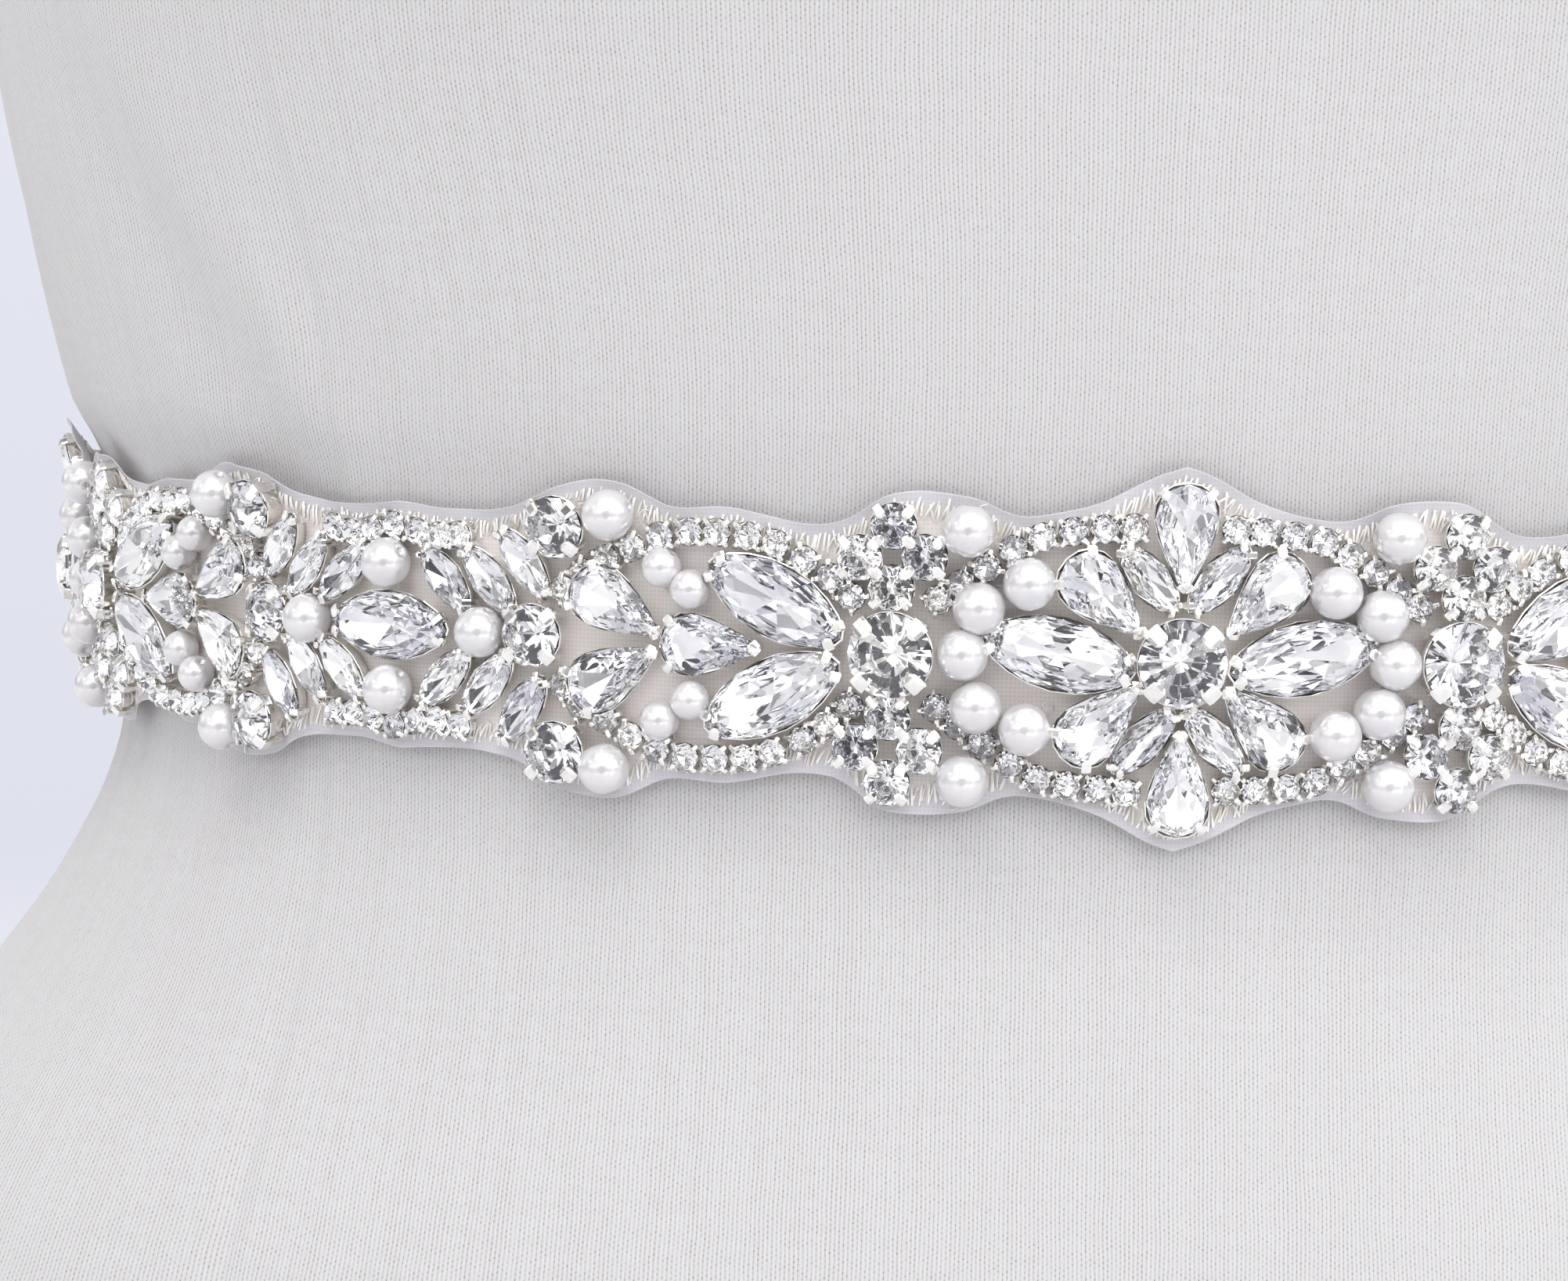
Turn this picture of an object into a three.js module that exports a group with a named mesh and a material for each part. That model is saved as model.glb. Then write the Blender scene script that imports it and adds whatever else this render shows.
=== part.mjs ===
// A bridal sash on a dress form. The sash is a scalloped organza applique, raised with crystals and pearls, and a
// satin ribbon that ties it behind. The form is a limbless torso in a jersey cover, on a flat base.
// Millimetres, +Z up, the front faces -Y, and the base stands on Z = 0.
import * as THREE from "three";
import { mergeVertices } from "three/addons/utils/BufferGeometryUtils.js";

// Driving sizes of the whole
const WAIST_HEIGHT = 245; // the sash's middle line above the table
const SASH_GAP = 0.4; // from the form's cover to the cloth of the sash
const SEAM_GAP = 0.3; // between neighbouring pieces
const BEAD_LEVEL = 3.2; // out from the form, where the applique's lengths are measured

// Driving sizes of the form's base and neck cap
const BASE_THICKNESS = 6;
const BASE_INSET = 6;
const CAP_THICKNESS = 8;
const CAP_OVERHANG = 1.5;
const TORSO_BOTTOM = BASE_THICKNESS + SEAM_GAP - WAIST_HEIGHT;
const NECK_TOP = 436;
const ARM_PLATE = { side: 163, edge: 3, from: 150 }; // the flat armhole plates, with a rounded edge
const BUST = { side: 80, height: 148, rise: 16.5, spread: 47, above: 62 };

// The torso's level sections. height is above the sash's middle line, side is half the width, front and back are
// the depths from the form's upright axis, and square is the superellipse power, 2 for an ellipse.
const TORSO_SECTIONS = [
  { height: -239, side: 167, front: 101, back: 110, square: 2.25 },
  { height: -185, side: 171, front: 105, back: 116.5, square: 2.25 },
  { height: -120, side: 162, front: 106, back: 112, square: 2.15 },
  { height: -70, side: 145.5, front: 102, back: 102, square: 2.05 },
  { height: -38, side: 123, front: 96.4, back: 94.6, square: 2 },
  { height: -20, side: 115, front: 94.3, back: 93.2, square: 2 },
  { height: -6, side: 115.6, front: 94, back: 93.2, square: 2 },
  { height: 8, side: 115.9, front: 94, back: 93.6, square: 2 },
  { height: 14, side: 117.2, front: 94.2, back: 94, square: 2 },
  { height: 21, side: 121, front: 95, back: 95.2, square: 2 },
  { height: 48, side: 127.6, front: 97.2, back: 99.5, square: 2 },
  { height: 95, side: 134.5, front: 102, back: 107.5, square: 2.1 },
  { height: 150, side: 146, front: 107, back: 113, square: 2.2 },
  { height: 200, side: 151, front: 103, back: 115, square: 2.25 },
  { height: 240, side: 161, front: 94, back: 112.5, square: 2.25 },
  { height: 280, side: 181, front: 80, back: 106, square: 2.2 },
  { height: 315, side: 186, front: 66, back: 94, square: 2.2 },
  { height: 340, side: 172, front: 56, back: 81, square: 2.2 },
  { height: 357, side: 140, front: 50, back: 71, square: 2.15 },
  { height: 370, side: 101, front: 47, back: 64, square: 2.1 },
  { height: 382, side: 71, front: 46, back: 59, square: 2 },
  { height: 396, side: 59, front: 47, back: 56, square: 2 },
  { height: NECK_TOP, side: 55, front: 49, back: 53, square: 2 },
];
const TORSO_SIDES = 40;
const WAIST_RING_STEP = 6.25; // rings lie this close where the sash wraps the form
const WAIST_RINGS_TO = 25;
const RING_STEP = 22;
const SHOULDER_RING_STEP = 10;
const SHOULDER_FROM = 335;

// The applique. The motif repeats from medallion to medallion, and is mirrored about the middle of each.
const HALF_MOTIF = 80.9;
const LAST_MEDALLION = 2 * HALF_MOTIF;
const LAST_BEAD = LAST_MEDALLION + 65.5;
const ORGANZA = 1.2;
const OUTLINE_STEPS = 28; // outline points in half a motif
const END_ROUNDING = 3.2;
const ROWS_ACROSS = 4; // of the plain inside, and one more than the points of each rounded end

// Half the applique's height, from the medallion's middle to the marquise's
const SCALLOPS = [
  { along: 0, reach: 18.7 },
  { along: 2.6, reach: 17.8 },
  { along: 7.5, reach: 15.2 },
  { along: 12, reach: 13.9 },
  { along: 16, reach: 13.6 },
  { along: 20.6, reach: 15.3 },
  { along: 28, reach: 15.4 },
  { along: 32.8, reach: 12.6 },
  { along: 37, reach: 12.2 },
  { along: 44, reach: 13.5 },
  { along: 50, reach: 13.5 },
  { along: 55.6, reach: 15.8 },
  { along: 61.6, reach: 15.2 },
  { along: 67.4, reach: 12.7 },
  { along: 74.5, reach: 12.1 },
  { along: HALF_MOTIF, reach: 12.7 },
];

// The stones of 4 mm and more. sides is the number of faces round the setting, and foot is the share of the size
// that stands on the cloth. belt is the height of the widest line, as a share of the whole.
const STONES = {
  centre: { shape: "round", length: 8.4, width: 8.4, height: 4.2, sides: 10, foot: 1, belt: 0.5, top: 0.56 },
  joint: { shape: "round", length: 7.9, width: 7.9, height: 4, sides: 10, foot: 1, belt: 0.5, top: 0.56 },
  crystal: { shape: "round", length: 6.1, width: 6.1, height: 3.6, sides: 8, foot: 0, belt: 0, top: 0.62 },
  rose: { shape: "round", length: 4.15, width: 4.15, height: 2.8, sides: 6, foot: 0, belt: 0, top: 0.68 },
  navette: { shape: "navette", length: 14.6, width: 6.9, height: 4, sides: 8, foot: 1, belt: 0.45, top: 0.56 },
  leaf: { shape: "navette", length: 7.9, width: 3.8, height: 2.8, sides: 6, foot: 0, belt: 0, top: 0.6 },
  drop: { shape: "pear", length: 9.8, width: 5.8, height: 3.6, sides: 8, foot: 0, belt: 0, top: 0.6 },
  pearl: { shape: "round", length: 4.8, width: 4.8, height: 4.8, sides: 6, foot: 0, belt: 0, top: 0.6 },
  seed: { shape: "round", length: 3.7, width: 3.7, height: 3.6, sides: 6, foot: 0, belt: 0, top: 0.62 },
};

// Where the stones lie in half a motif. up is above the middle line, and a stone with mirror is also below it.
// turn is the way a navette or drop points, in degrees from along towards up.
const LAYOUT = [
  { stone: "centre", along: 0, up: 0, turn: 0, mirror: false },
  { stone: "navette", along: 11.8, up: 0.2, turn: 12, mirror: false },
  { stone: "drop", along: 0, up: 12, turn: 90, mirror: true },
  { stone: "drop", along: 7.7, up: 6, turn: 44, mirror: true },
  { stone: "leaf", along: 3.4, up: 7.7, turn: 48, mirror: true },
  { stone: "pearl", along: 14.7, up: 6.9, turn: 0, mirror: true },
  { stone: "pearl", along: 19.3, up: 4.75, turn: 0, mirror: true },
  { stone: "pearl", along: 20.75, up: 0, turn: 0, mirror: false },
  { stone: "pearl", along: 20.6, up: 12, turn: 0, mirror: true },
  { stone: "joint", along: 27.3, up: 0, turn: 0, mirror: false },
  { stone: "rose", along: 27.7, up: 12.4, turn: 0, mirror: true },
  { stone: "rose", along: 30.9, up: 9.3, turn: 0, mirror: true },
  { stone: "rose", along: 24.5, up: 9.3, turn: 0, mirror: true },
  { stone: "rose", along: 27.7, up: 6.25, turn: 0, mirror: true },
  { stone: "navette", along: 39, up: 4.6, turn: 27.6, mirror: true },
  { stone: "drop", along: 45.4, up: 0, turn: 0, mirror: false },
  { stone: "seed", along: 47.3, up: 5.3, turn: 0, mirror: true },
  { stone: "seed", along: 50.5, up: 7.5, turn: 0, mirror: true },
  { stone: "drop", along: 55.4, up: 3.4, turn: 30, mirror: true },
  { stone: "pearl", along: 55.8, up: 12.6, turn: 0, mirror: true },
  { stone: "crystal", along: 61.5, up: 11.3, turn: 0, mirror: true },
  { stone: "crystal", along: 64.1, up: 0, turn: 0, mirror: false },
  { stone: "leaf", along: 65.2, up: 7.3, turn: 54, mirror: true },
  { stone: "leaf", along: 69.3, up: 5.2, turn: 50, mirror: true },
  { stone: "pearl", along: 69.9, up: 0, turn: 0, mirror: false },
  { stone: "leaf", along: 74.3, up: 4.9, turn: 44, mirror: true },
  { stone: "pearl", along: HALF_MOTIF, up: 6.4, turn: 0, mirror: true },
  { stone: "navette", along: HALF_MOTIF, up: 0, turn: 0, mirror: false },
];
const FACET_TURN = 2.4; // radians from one round stone's facets to the next stone's

// The ribbon: from each end of the applique to a knot behind, and two hanging tails
const RIBBON = 1;
const RIBBON_WIDTH = 25;
const KNOT = { halfWidth: 9, halfHeight: 7.5, depth: 9, end: 0.8, pleat: 0.035, pleatPitch: 4.5, narrow: 0.44 };
const GATHER = { over: 46, height: 10.5, pleats: 3, rise: 1.7 };
const TAILS = [
  { name: "tail_left", side: -1, length: 196, phase: 0.4 },
  { name: "tail_right", side: 1, length: 184, phase: 2.1 },
];
const TAIL = {
  top: 8, // from the sash's middle line down to the tail's upper end, under the knot
  start: 4.7, // from the form's middle line to the tail's middle, at the top
  spread: 9.5,
  spreadOver: 25,
  splay: 0.06,
  widenOver: 22,
  stand: 3.8,
  fallOver: 14,
};
const TAIL_FOLD = { pleats: 2, rise: 1.6, over: 35, wave: 1.7, waveLength: 120, cut: 9 };

// A smooth curve through one column of a table, by cubic pieces that share their slopes
function column(table, key, name, at) {
  const last = table.length - 1;
  const slope = (i) => {
    const a = table[Math.max(i - 1, 0)];
    const b = table[Math.min(i + 1, last)];
    return (b[name] - a[name]) / (b[key] - a[key]);
  };
  let i = 0;
  while (i < last - 1 && at > table[i + 1][key]) i += 1;
  const span = table[i + 1][key] - table[i][key];
  const t = THREE.MathUtils.clamp((at - table[i][key]) / span, 0, 1);
  const rise = table[i + 1][name] - table[i][name];
  const ease = t * t * (3 - 2 * t);
  const bend = t * (1 - t);
  return table[i][name] + rise * ease + span * bend * ((1 - t) * slope(i) - t * slope(i + 1));
}

// The form's surface. angle is 0 at the front and grows towards -X, and height is above the sash's middle line.
function formSurface(angle, height) {
  const side = column(TORSO_SECTIONS, "height", "side", height);
  const depth = column(TORSO_SECTIONS, "height", Math.cos(angle) > 0 ? "front" : "back", height);
  const power = column(TORSO_SECTIONS, "height", "square", height);
  const across = Math.abs(Math.sin(angle) / side) ** power;
  const through = Math.abs(Math.cos(angle) / depth) ** power;
  const radius = (across + through) ** (-1 / power);
  const x = -radius * Math.sin(angle);
  let y = -radius * Math.cos(angle);
  if (Math.cos(angle) > 0) {
    const drop = height - BUST.height;
    const tall = drop > 0 ? BUST.above : BUST.spread;
    const off = (Math.abs(x) - BUST.side) / BUST.spread;
    y -= BUST.rise * Math.exp(-(off * off) - (drop / tall) ** 2);
  }
  if (height < ARM_PLATE.from) return new THREE.Vector3(x, y, height + WAIST_HEIGHT);
  const inside = (Math.abs(x) - ARM_PLATE.side) / ARM_PLATE.edge;
  const flattened = Math.abs(x) - ARM_PLATE.edge * Math.log(1 + Math.exp(inside));
  return new THREE.Vector3(Math.sign(x) * flattened, y, height + WAIST_HEIGHT);
}

// A point that lies out from the form's surface, square to it
function offForm(angle, height, out) {
  const turn = 0.002;
  const lift = 0.2;
  const round = formSurface(angle + turn, height).sub(formSurface(angle - turn, height));
  const rise = formSurface(angle, height + lift).sub(formSurface(angle, height - lift));
  const normal = rise.cross(round).normalize();
  return formSurface(angle, height).addScaledVector(normal, out);
}

// The angle at a length along the sash, measured at the bead level from the front
const ROUND_STEPS = 1440;
const ROUND = [{ along: 0, angle: 0 }];
for (let i = 1; i <= ROUND_STEPS; i += 1) {
  const angle = (Math.PI * i) / ROUND_STEPS;
  const before = offForm(ROUND[i - 1].angle, 0, BEAD_LEVEL);
  ROUND.push({ along: ROUND[i - 1].along + before.distanceTo(offForm(angle, 0, BEAD_LEVEL)), angle });
}
const HALF_ROUND = ROUND[ROUND_STEPS].along;

function angleAt(along) {
  const far = Math.abs(along);
  let low = 0;
  let high = ROUND_STEPS;
  while (high - low > 1) {
    const middle = Math.floor((low + high) / 2);
    if (ROUND[middle].along > far) high = middle;
    else low = middle;
  }
  const share = (far - ROUND[low].along) / (ROUND[high].along - ROUND[low].along);
  return Math.sign(along) * THREE.MathUtils.lerp(ROUND[low].angle, ROUND[high].angle, share);
}

const onSash = (along, up, out) => offForm(angleAt(along), up, SASH_GAP + out);

// A closed mesh from points and the triples that join them, turned to face out
function closedGeometry(points, faces) {
  let volume = 0;
  for (const [a, b, c] of faces) {
    volume += points[a].dot(new THREE.Vector3().crossVectors(points[b], points[c]));
  }
  const order = volume > 0 ? [0, 1, 2] : [0, 2, 1];
  const geometry = new THREE.BufferGeometry().setFromPoints(points);
  geometry.setIndex(faces.flatMap((face) => order.map((corner) => face[corner])));
  return geometry;
}

// Two triangles between each two neighbours of two rings of points
function band(faces, lower, upper) {
  lower.forEach((a, i) => {
    const next = (i + 1) % lower.length;
    faces.push([a, lower[next], upper[next]], [a, upper[next], upper[i]]);
  });
}

// A solid through rings of points, closed by a fan at each end
function loft(rings) {
  const points = rings.flat();
  const count = rings[0].length;
  const indices = rings.map((ring, r) => ring.map((_, i) => r * count + i));
  const faces = [];
  for (let r = 1; r < rings.length; r += 1) band(faces, indices[r - 1], indices[r]);
  for (const [ring, turned] of [
    [indices[0], true],
    [indices[rings.length - 1], false],
  ]) {
    const middle = new THREE.Vector3();
    ring.forEach((i) => middle.addScaledVector(points[i], 1 / count));
    points.push(middle);
    ring.forEach((a, i) => {
      const b = ring[(i + 1) % count];
      faces.push(turned ? [b, a, points.length - 1] : [a, b, points.length - 1]);
    });
  }
  return closedGeometry(points, faces);
}

// A sheet of cloth with a thickness. at(u, v, out) gives its points, with u and v from 0 to 1.
function clothWall(columns, rows, thickness, at) {
  const points = [];
  const index = (side, i, j) => (side * (columns + 1) + i) * (rows + 1) + j;
  for (const out of [0, thickness]) {
    for (let i = 0; i <= columns; i += 1) {
      for (let j = 0; j <= rows; j += 1) points.push(at(i / columns, j / rows, out));
    }
  }
  const faces = [];
  const quad = (a, b, c, d) => faces.push([a, b, c], [a, c, d]);
  for (let i = 0; i < columns; i += 1) {
    for (let j = 0; j < rows; j += 1) {
      quad(index(0, i, j), index(0, i, j + 1), index(0, i + 1, j + 1), index(0, i + 1, j));
      quad(index(1, i, j), index(1, i + 1, j), index(1, i + 1, j + 1), index(1, i, j + 1));
    }
    quad(index(0, i, 0), index(0, i + 1, 0), index(1, i + 1, 0), index(1, i, 0));
    quad(index(0, i + 1, rows), index(0, i, rows), index(1, i, rows), index(1, i + 1, rows));
  }
  for (let j = 0; j < rows; j += 1) {
    quad(index(0, 0, j + 1), index(0, 0, j), index(1, 0, j), index(1, 0, j + 1));
    quad(index(0, columns, j), index(0, columns, j + 1), index(1, columns, j + 1), index(1, columns, j));
  }
  return closedGeometry(points, faces);
}

function levelRing(height, sides, inset = 0) {
  return Array.from({ length: sides }, (_, i) => offForm((2 * Math.PI * i) / sides, height, -inset));
}

function torso() {
  const heights = [TORSO_BOTTOM];
  const steps = (from, to, step) => {
    const count = Math.ceil((to - from) / step);
    for (let i = 1; i <= count; i += 1) heights.push(from + ((to - from) * i) / count);
  };
  steps(TORSO_BOTTOM, -WAIST_RINGS_TO, RING_STEP);
  steps(-WAIST_RINGS_TO, WAIST_RINGS_TO, WAIST_RING_STEP);
  steps(WAIST_RINGS_TO, SHOULDER_FROM, RING_STEP);
  steps(SHOULDER_FROM, NECK_TOP, SHOULDER_RING_STEP);
  return loft(
    heights.map((height) =>
      Array.from({ length: TORSO_SIDES }, (_, i) => formSurface((2 * Math.PI * i) / TORSO_SIDES, height)),
    ),
  );
}

function base() {
  const foot = levelRing(TORSO_BOTTOM, TORSO_SIDES, BASE_INSET);
  const at = (z, grow) => foot.map((p) => new THREE.Vector3(p.x * grow, p.y * grow, z));
  const edge = 0.99;
  return loft([at(0, edge), at(1.5, 1), at(BASE_THICKNESS - 1.5, 1), at(BASE_THICKNESS, edge)]);
}

function neckCap() {
  const rim = levelRing(NECK_TOP, TORSO_SIDES, -CAP_OVERHANG);
  const from = WAIST_HEIGHT + NECK_TOP + SEAM_GAP;
  const at = (lift, grow) => rim.map((p) => new THREE.Vector3(p.x * grow, p.y * grow, from + lift));
  return loft([at(0, 1), at(4.5, 1), at(6.5, 0.96), at(7.6, 0.86), at(CAP_THICKNESS, 0.6)]);
}

// Half the applique's height at a length along it, from the repeat
function reachAt(along) {
  const folded = Math.abs(along) % LAST_MEDALLION;
  return column(SCALLOPS, "along", "reach", Math.min(folded, LAST_MEDALLION - folded));
}

// A stone's outline on the cloth, in the sash's flat sizes, about its own middle
function stoneOutline({ shape, length, width, sides }, facet) {
  return Array.from({ length: sides }, (_, i) => {
    const t = (2 * Math.PI * i) / sides;
    if (shape === "round") return [(length / 2) * Math.cos(t + facet), (width / 2) * Math.sin(t + facet)];
    const x = Math.cos(t);
    if (shape === "navette") return [(length / 2) * x, (width / 2) * Math.sin(t) * (1 - 0.25 * x * x)];
    return [(length / 2) * x, (width / 2) * Math.sin(t) * (0.72 + 0.36 * x)];
  });
}

// Every stone of the applique, with its middle and the way it points
function stonePlaces() {
  const places = [];
  for (const medallion of [-LAST_MEDALLION, 0, LAST_MEDALLION]) {
    for (const { stone, along, up, turn, mirror } of LAYOUT) {
      const ways = along === 0 || along === HALF_MOTIF ? [1] : [1, -1];
      for (const way of ways) {
        const middle = medallion + way * along;
        const point = THREE.MathUtils.degToRad(turn);
        if (Math.abs(middle) > LAST_BEAD) continue;
        for (const side of mirror ? [1, -1] : [1]) {
          const angle = Math.atan2(side * Math.sin(point), way * Math.cos(point));
          places.push({ kind: STONES[stone], along: middle, up: side * up, angle });
        }
      }
    }
  }
  return places;
}

// The applique: a cloth wall with a plain inside, whose outer face rises into each stone
function applique() {
  const points = [];
  const faces = [];
  const step = HALF_MOTIF / OUTLINE_STEPS;
  const last = Math.round((LAST_BEAD + 1) / step);
  const end = last * step;
  const addPoint = (along, up, out) => points.push(onSash(along, up, out)) - 1;

  // The outline, counter-clockwise in the flat: the lower edge, the rounded end, the upper edge, the other end
  const stations = Array.from({ length: 2 * last + 1 }, (_, i) => (i - last) * step);
  const endArc = Array.from({ length: ROWS_ACROSS - 1 }, (_, i) => {
    const t = (Math.PI * (i + 1)) / ROWS_ACROSS - Math.PI / 2;
    return [end + END_ROUNDING * Math.cos(t), reachAt(end) * Math.sin(t)];
  });
  const outline = [
    ...stations.map((along) => [along, -reachAt(along)]),
    ...endArc,
    ...stations.map((along) => [along, reachAt(along)]).reverse(),
    ...endArc.map(([along, up]) => [-along, -up]),
  ];

  // The outer face, with a hole where each stone stands
  const stones = stonePlaces().map(({ kind, along, up, angle }, i) => {
    const ring = stoneOutline(kind, i * FACET_TURN).map(([x, y]) => [
      x * Math.cos(angle) - y * Math.sin(angle),
      x * Math.sin(angle) + y * Math.cos(angle),
    ]);
    const at = (size) => ring.map(([x, y]) => [along + size * x, up + size * y]);
    return { kind, foot: at(kind.foot || 1), belt: at(1), top: at(kind.top) };
  });
  const flat = (ring) => ring.map(([x, y]) => new THREE.Vector2(x, y));
  const holes = stones.map(({ foot }) => foot);
  const corners = [outline, ...holes].flat();
  const outer = corners.map(([along, up]) => addPoint(along, up, ORGANZA));
  for (const triangle of THREE.ShapeUtils.triangulateShape(flat(outline), holes.map(flat))) {
    const [a, b, c] = triangle.map((i) => corners[i]);
    const area = (b[0] - a[0]) * (c[1] - a[1]) - (c[0] - a[0]) * (b[1] - a[1]);
    const [i, j, k] = triangle.map((corner) => outer[corner]);
    faces.push(area > 0 ? [i, j, k] : [i, k, j]);
  }

  // The stones: an upright setting up to the belt, then a crown that narrows to the flat top
  let first = outline.length;
  for (const { kind, foot, belt, top } of stones) {
    let ring = outer.slice(first, first + foot.length);
    first += foot.length;
    if (kind.belt > 0) {
      const wide = belt.map(([x, y]) => addPoint(x, y, ORGANZA + kind.height * kind.belt));
      band(faces, ring, wide);
      ring = wide;
    }
    const table = top.map(([x, y]) => addPoint(x, y, ORGANZA + kind.height));
    band(faces, ring, table);
    for (let i = 1; i + 1 < table.length; i += 1) faces.push([table[0], table[i], table[i + 1]]);
  }

  // The plain inside, in rows across, and the rim that joins the two faces
  const grid = stations.map((along) => {
    const reach = reachAt(along);
    return Array.from({ length: ROWS_ACROSS + 1 }, (_, j) => addPoint(along, reach * ((2 * j) / ROWS_ACROSS - 1), 0));
  });
  for (let i = 0; i + 1 < grid.length; i += 1) {
    for (let j = 0; j < ROWS_ACROSS; j += 1) {
      faces.push([grid[i][j], grid[i + 1][j + 1], grid[i + 1][j]], [grid[i][j], grid[i][j + 1], grid[i + 1][j + 1]]);
    }
  }
  const innerEnds = [1, -1].map((way) => endArc.map(([along, up]) => addPoint(way * along, way * up, 0)));
  const endRows = [grid[grid.length - 1], [...grid[0]].reverse()];
  endRows.forEach((rows, side) => {
    const arc = [rows[0], ...innerEnds[side], rows[ROWS_ACROSS]];
    for (let j = 0; j < ROWS_ACROSS; j += 1) {
      if (j > 0) faces.push([rows[j], arc[j + 1], arc[j]]);
      if (j + 1 < ROWS_ACROSS) faces.push([rows[j], rows[j + 1], arc[j + 1]]);
    }
  });
  const inner = [
    ...grid.map((rows) => rows[0]),
    ...innerEnds[0],
    ...grid.map((rows) => rows[ROWS_ACROSS]).reverse(),
    ...innerEnds[1],
  ];
  band(faces, inner, outer.slice(0, outline.length));
  return { geometry: closedGeometry(points, faces), end: end + END_ROUNDING };
}

// Half the waist's ribbon, which gathers into pleats as it nears the knot
function ribbon(way, from) {
  const to = HALF_ROUND - KNOT.halfWidth - 2 * SEAM_GAP;
  return clothWall(16, 6, RIBBON, (u, v, out) => {
    const along = THREE.MathUtils.lerp(from, to, u);
    const gathered = THREE.MathUtils.smoothstep(along, to - GATHER.over, to);
    const height = THREE.MathUtils.lerp(RIBBON_WIDTH, GATHER.height, gathered);
    const pleat = GATHER.rise * gathered * (0.5 - 0.5 * Math.cos(2 * Math.PI * GATHER.pleats * v));
    return onSash(way * along, height * (v - 0.5), pleat + out);
  });
}

// The knot: the ribbon wrapped once round itself, with its pleats running up and down
function knot() {
  const rings = [];
  const steps = 12;
  for (let i = 0; i <= steps; i += 1) {
    const x = KNOT.halfWidth * ((2 * i) / steps - 1);
    const barrel = THREE.MathUtils.lerp(1, KNOT.end, (x / KNOT.halfWidth) ** 2);
    const size = barrel + KNOT.pleat * Math.cos((2 * Math.PI * x) / KNOT.pleatPitch);
    rings.push(
      Array.from({ length: 14 }, (_, j) => {
        const t = (2 * Math.PI * j) / 14;
        const out = Math.max(SEAM_GAP, (KNOT.depth / 2) * (1 + size * Math.cos(t)));
        const spot = onSash(HALF_ROUND, KNOT.halfHeight * size * Math.sin(t), out);
        return new THREE.Vector3(x, spot.y, spot.z);
      }),
    );
  }
  return loft(rings);
}

// A tail hangs from under the knot, falls back onto the form and spreads to the ribbon's full width
function tail({ side, length, phase }) {
  return clothWall(18, 6, RIBBON, (u, v, out) => {
    const cut = TAIL_FOLD.cut * (side > 0 ? v : 1 - v) * u;
    const down = u * (length - cut);
    const gathered = 2 * KNOT.halfWidth * KNOT.narrow;
    const width = THREE.MathUtils.lerp(RIBBON_WIDTH, gathered, Math.exp(-down / TAIL.widenOver));
    const middle = TAIL.start + TAIL.spread * (1 - Math.exp(-down / TAIL.spreadOver)) + TAIL.splay * down;
    const x = side * middle + width * (v - 0.5);
    const height = -TAIL.top - down;
    const across = column(TORSO_SECTIONS, "height", "side", height);
    const deep = column(TORSO_SECTIONS, "height", "back", height);
    const power = column(TORSO_SECTIONS, "height", "square", height);
    const y = deep * (1 - Math.abs(x / across) ** power) ** (1 / power);
    const pleat = 0.5 - 0.5 * Math.cos(2 * Math.PI * TAIL_FOLD.pleats * v);
    const wave = 0.5 - 0.5 * Math.cos((2 * Math.PI * down) / TAIL_FOLD.waveLength + phase + v);
    const lift =
      TAIL.stand * Math.exp(-down / TAIL.fallOver) +
      TAIL_FOLD.rise * pleat * Math.exp(-down / TAIL_FOLD.over) +
      TAIL_FOLD.wave * wave * (1 - Math.exp(-down / TAIL_FOLD.over));
    return offForm(Math.atan2(-x, -y), height, SASH_GAP + lift + out);
  });
}

const COLOURS = {
  jersey: new THREE.MeshStandardMaterial({ color: "#e9e6e6", roughness: 0.9, metalness: 0 }),
  plate: new THREE.MeshStandardMaterial({ color: "#dcd8d4", roughness: 0.5, metalness: 0 }),
  beadwork: new THREE.MeshStandardMaterial({ color: "#e4e2de", roughness: 0.25, metalness: 0.2 }),
  satin: new THREE.MeshStandardMaterial({ color: "#f3efe6", roughness: 0.4, metalness: 0 }),
};

const part = new THREE.Group();

function add(name, geometry, material) {
  geometry.deleteAttribute("normal");
  const mesh = new THREE.Mesh(mergeVertices(geometry, 1e-4), material);
  mesh.geometry.computeVertexNormals();
  mesh.name = name;
  part.add(mesh);
}

const beaded = applique();
add("form_torso", torso(), COLOURS.jersey);
add("form_base", base(), COLOURS.plate);
add("form_neck_cap", neckCap(), COLOURS.plate);
add("sash_applique", beaded.geometry, COLOURS.beadwork);
add("ribbon_left", ribbon(1, beaded.end + SEAM_GAP), COLOURS.satin);
add("ribbon_right", ribbon(-1, beaded.end + SEAM_GAP), COLOURS.satin);
add("ribbon_knot", knot(), COLOURS.satin);
for (const piece of TAILS) add(piece.name, tail(piece), COLOURS.satin);

export default part;
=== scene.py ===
# %% [markdown]
# # A bridal sash on a dress form
#
# A bridal sash is a scalloped strip of organza, a crisp and sheer cloth, that carries crystals, pearls and
# a chain of small rhinestones in a repeating motif. A satin ribbon at each end of it ties behind the waist.
# Here a dress form wears it: a limbless torso in a white jersey cover.
#
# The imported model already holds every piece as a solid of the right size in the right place. This lesson
# dresses those solids. It builds finer pieces where they stand, and gives each piece the material that the
# real one has.

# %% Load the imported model
import math

import bmesh
import bpy
import numpy as np
from mathutils import Matrix, Vector


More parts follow.
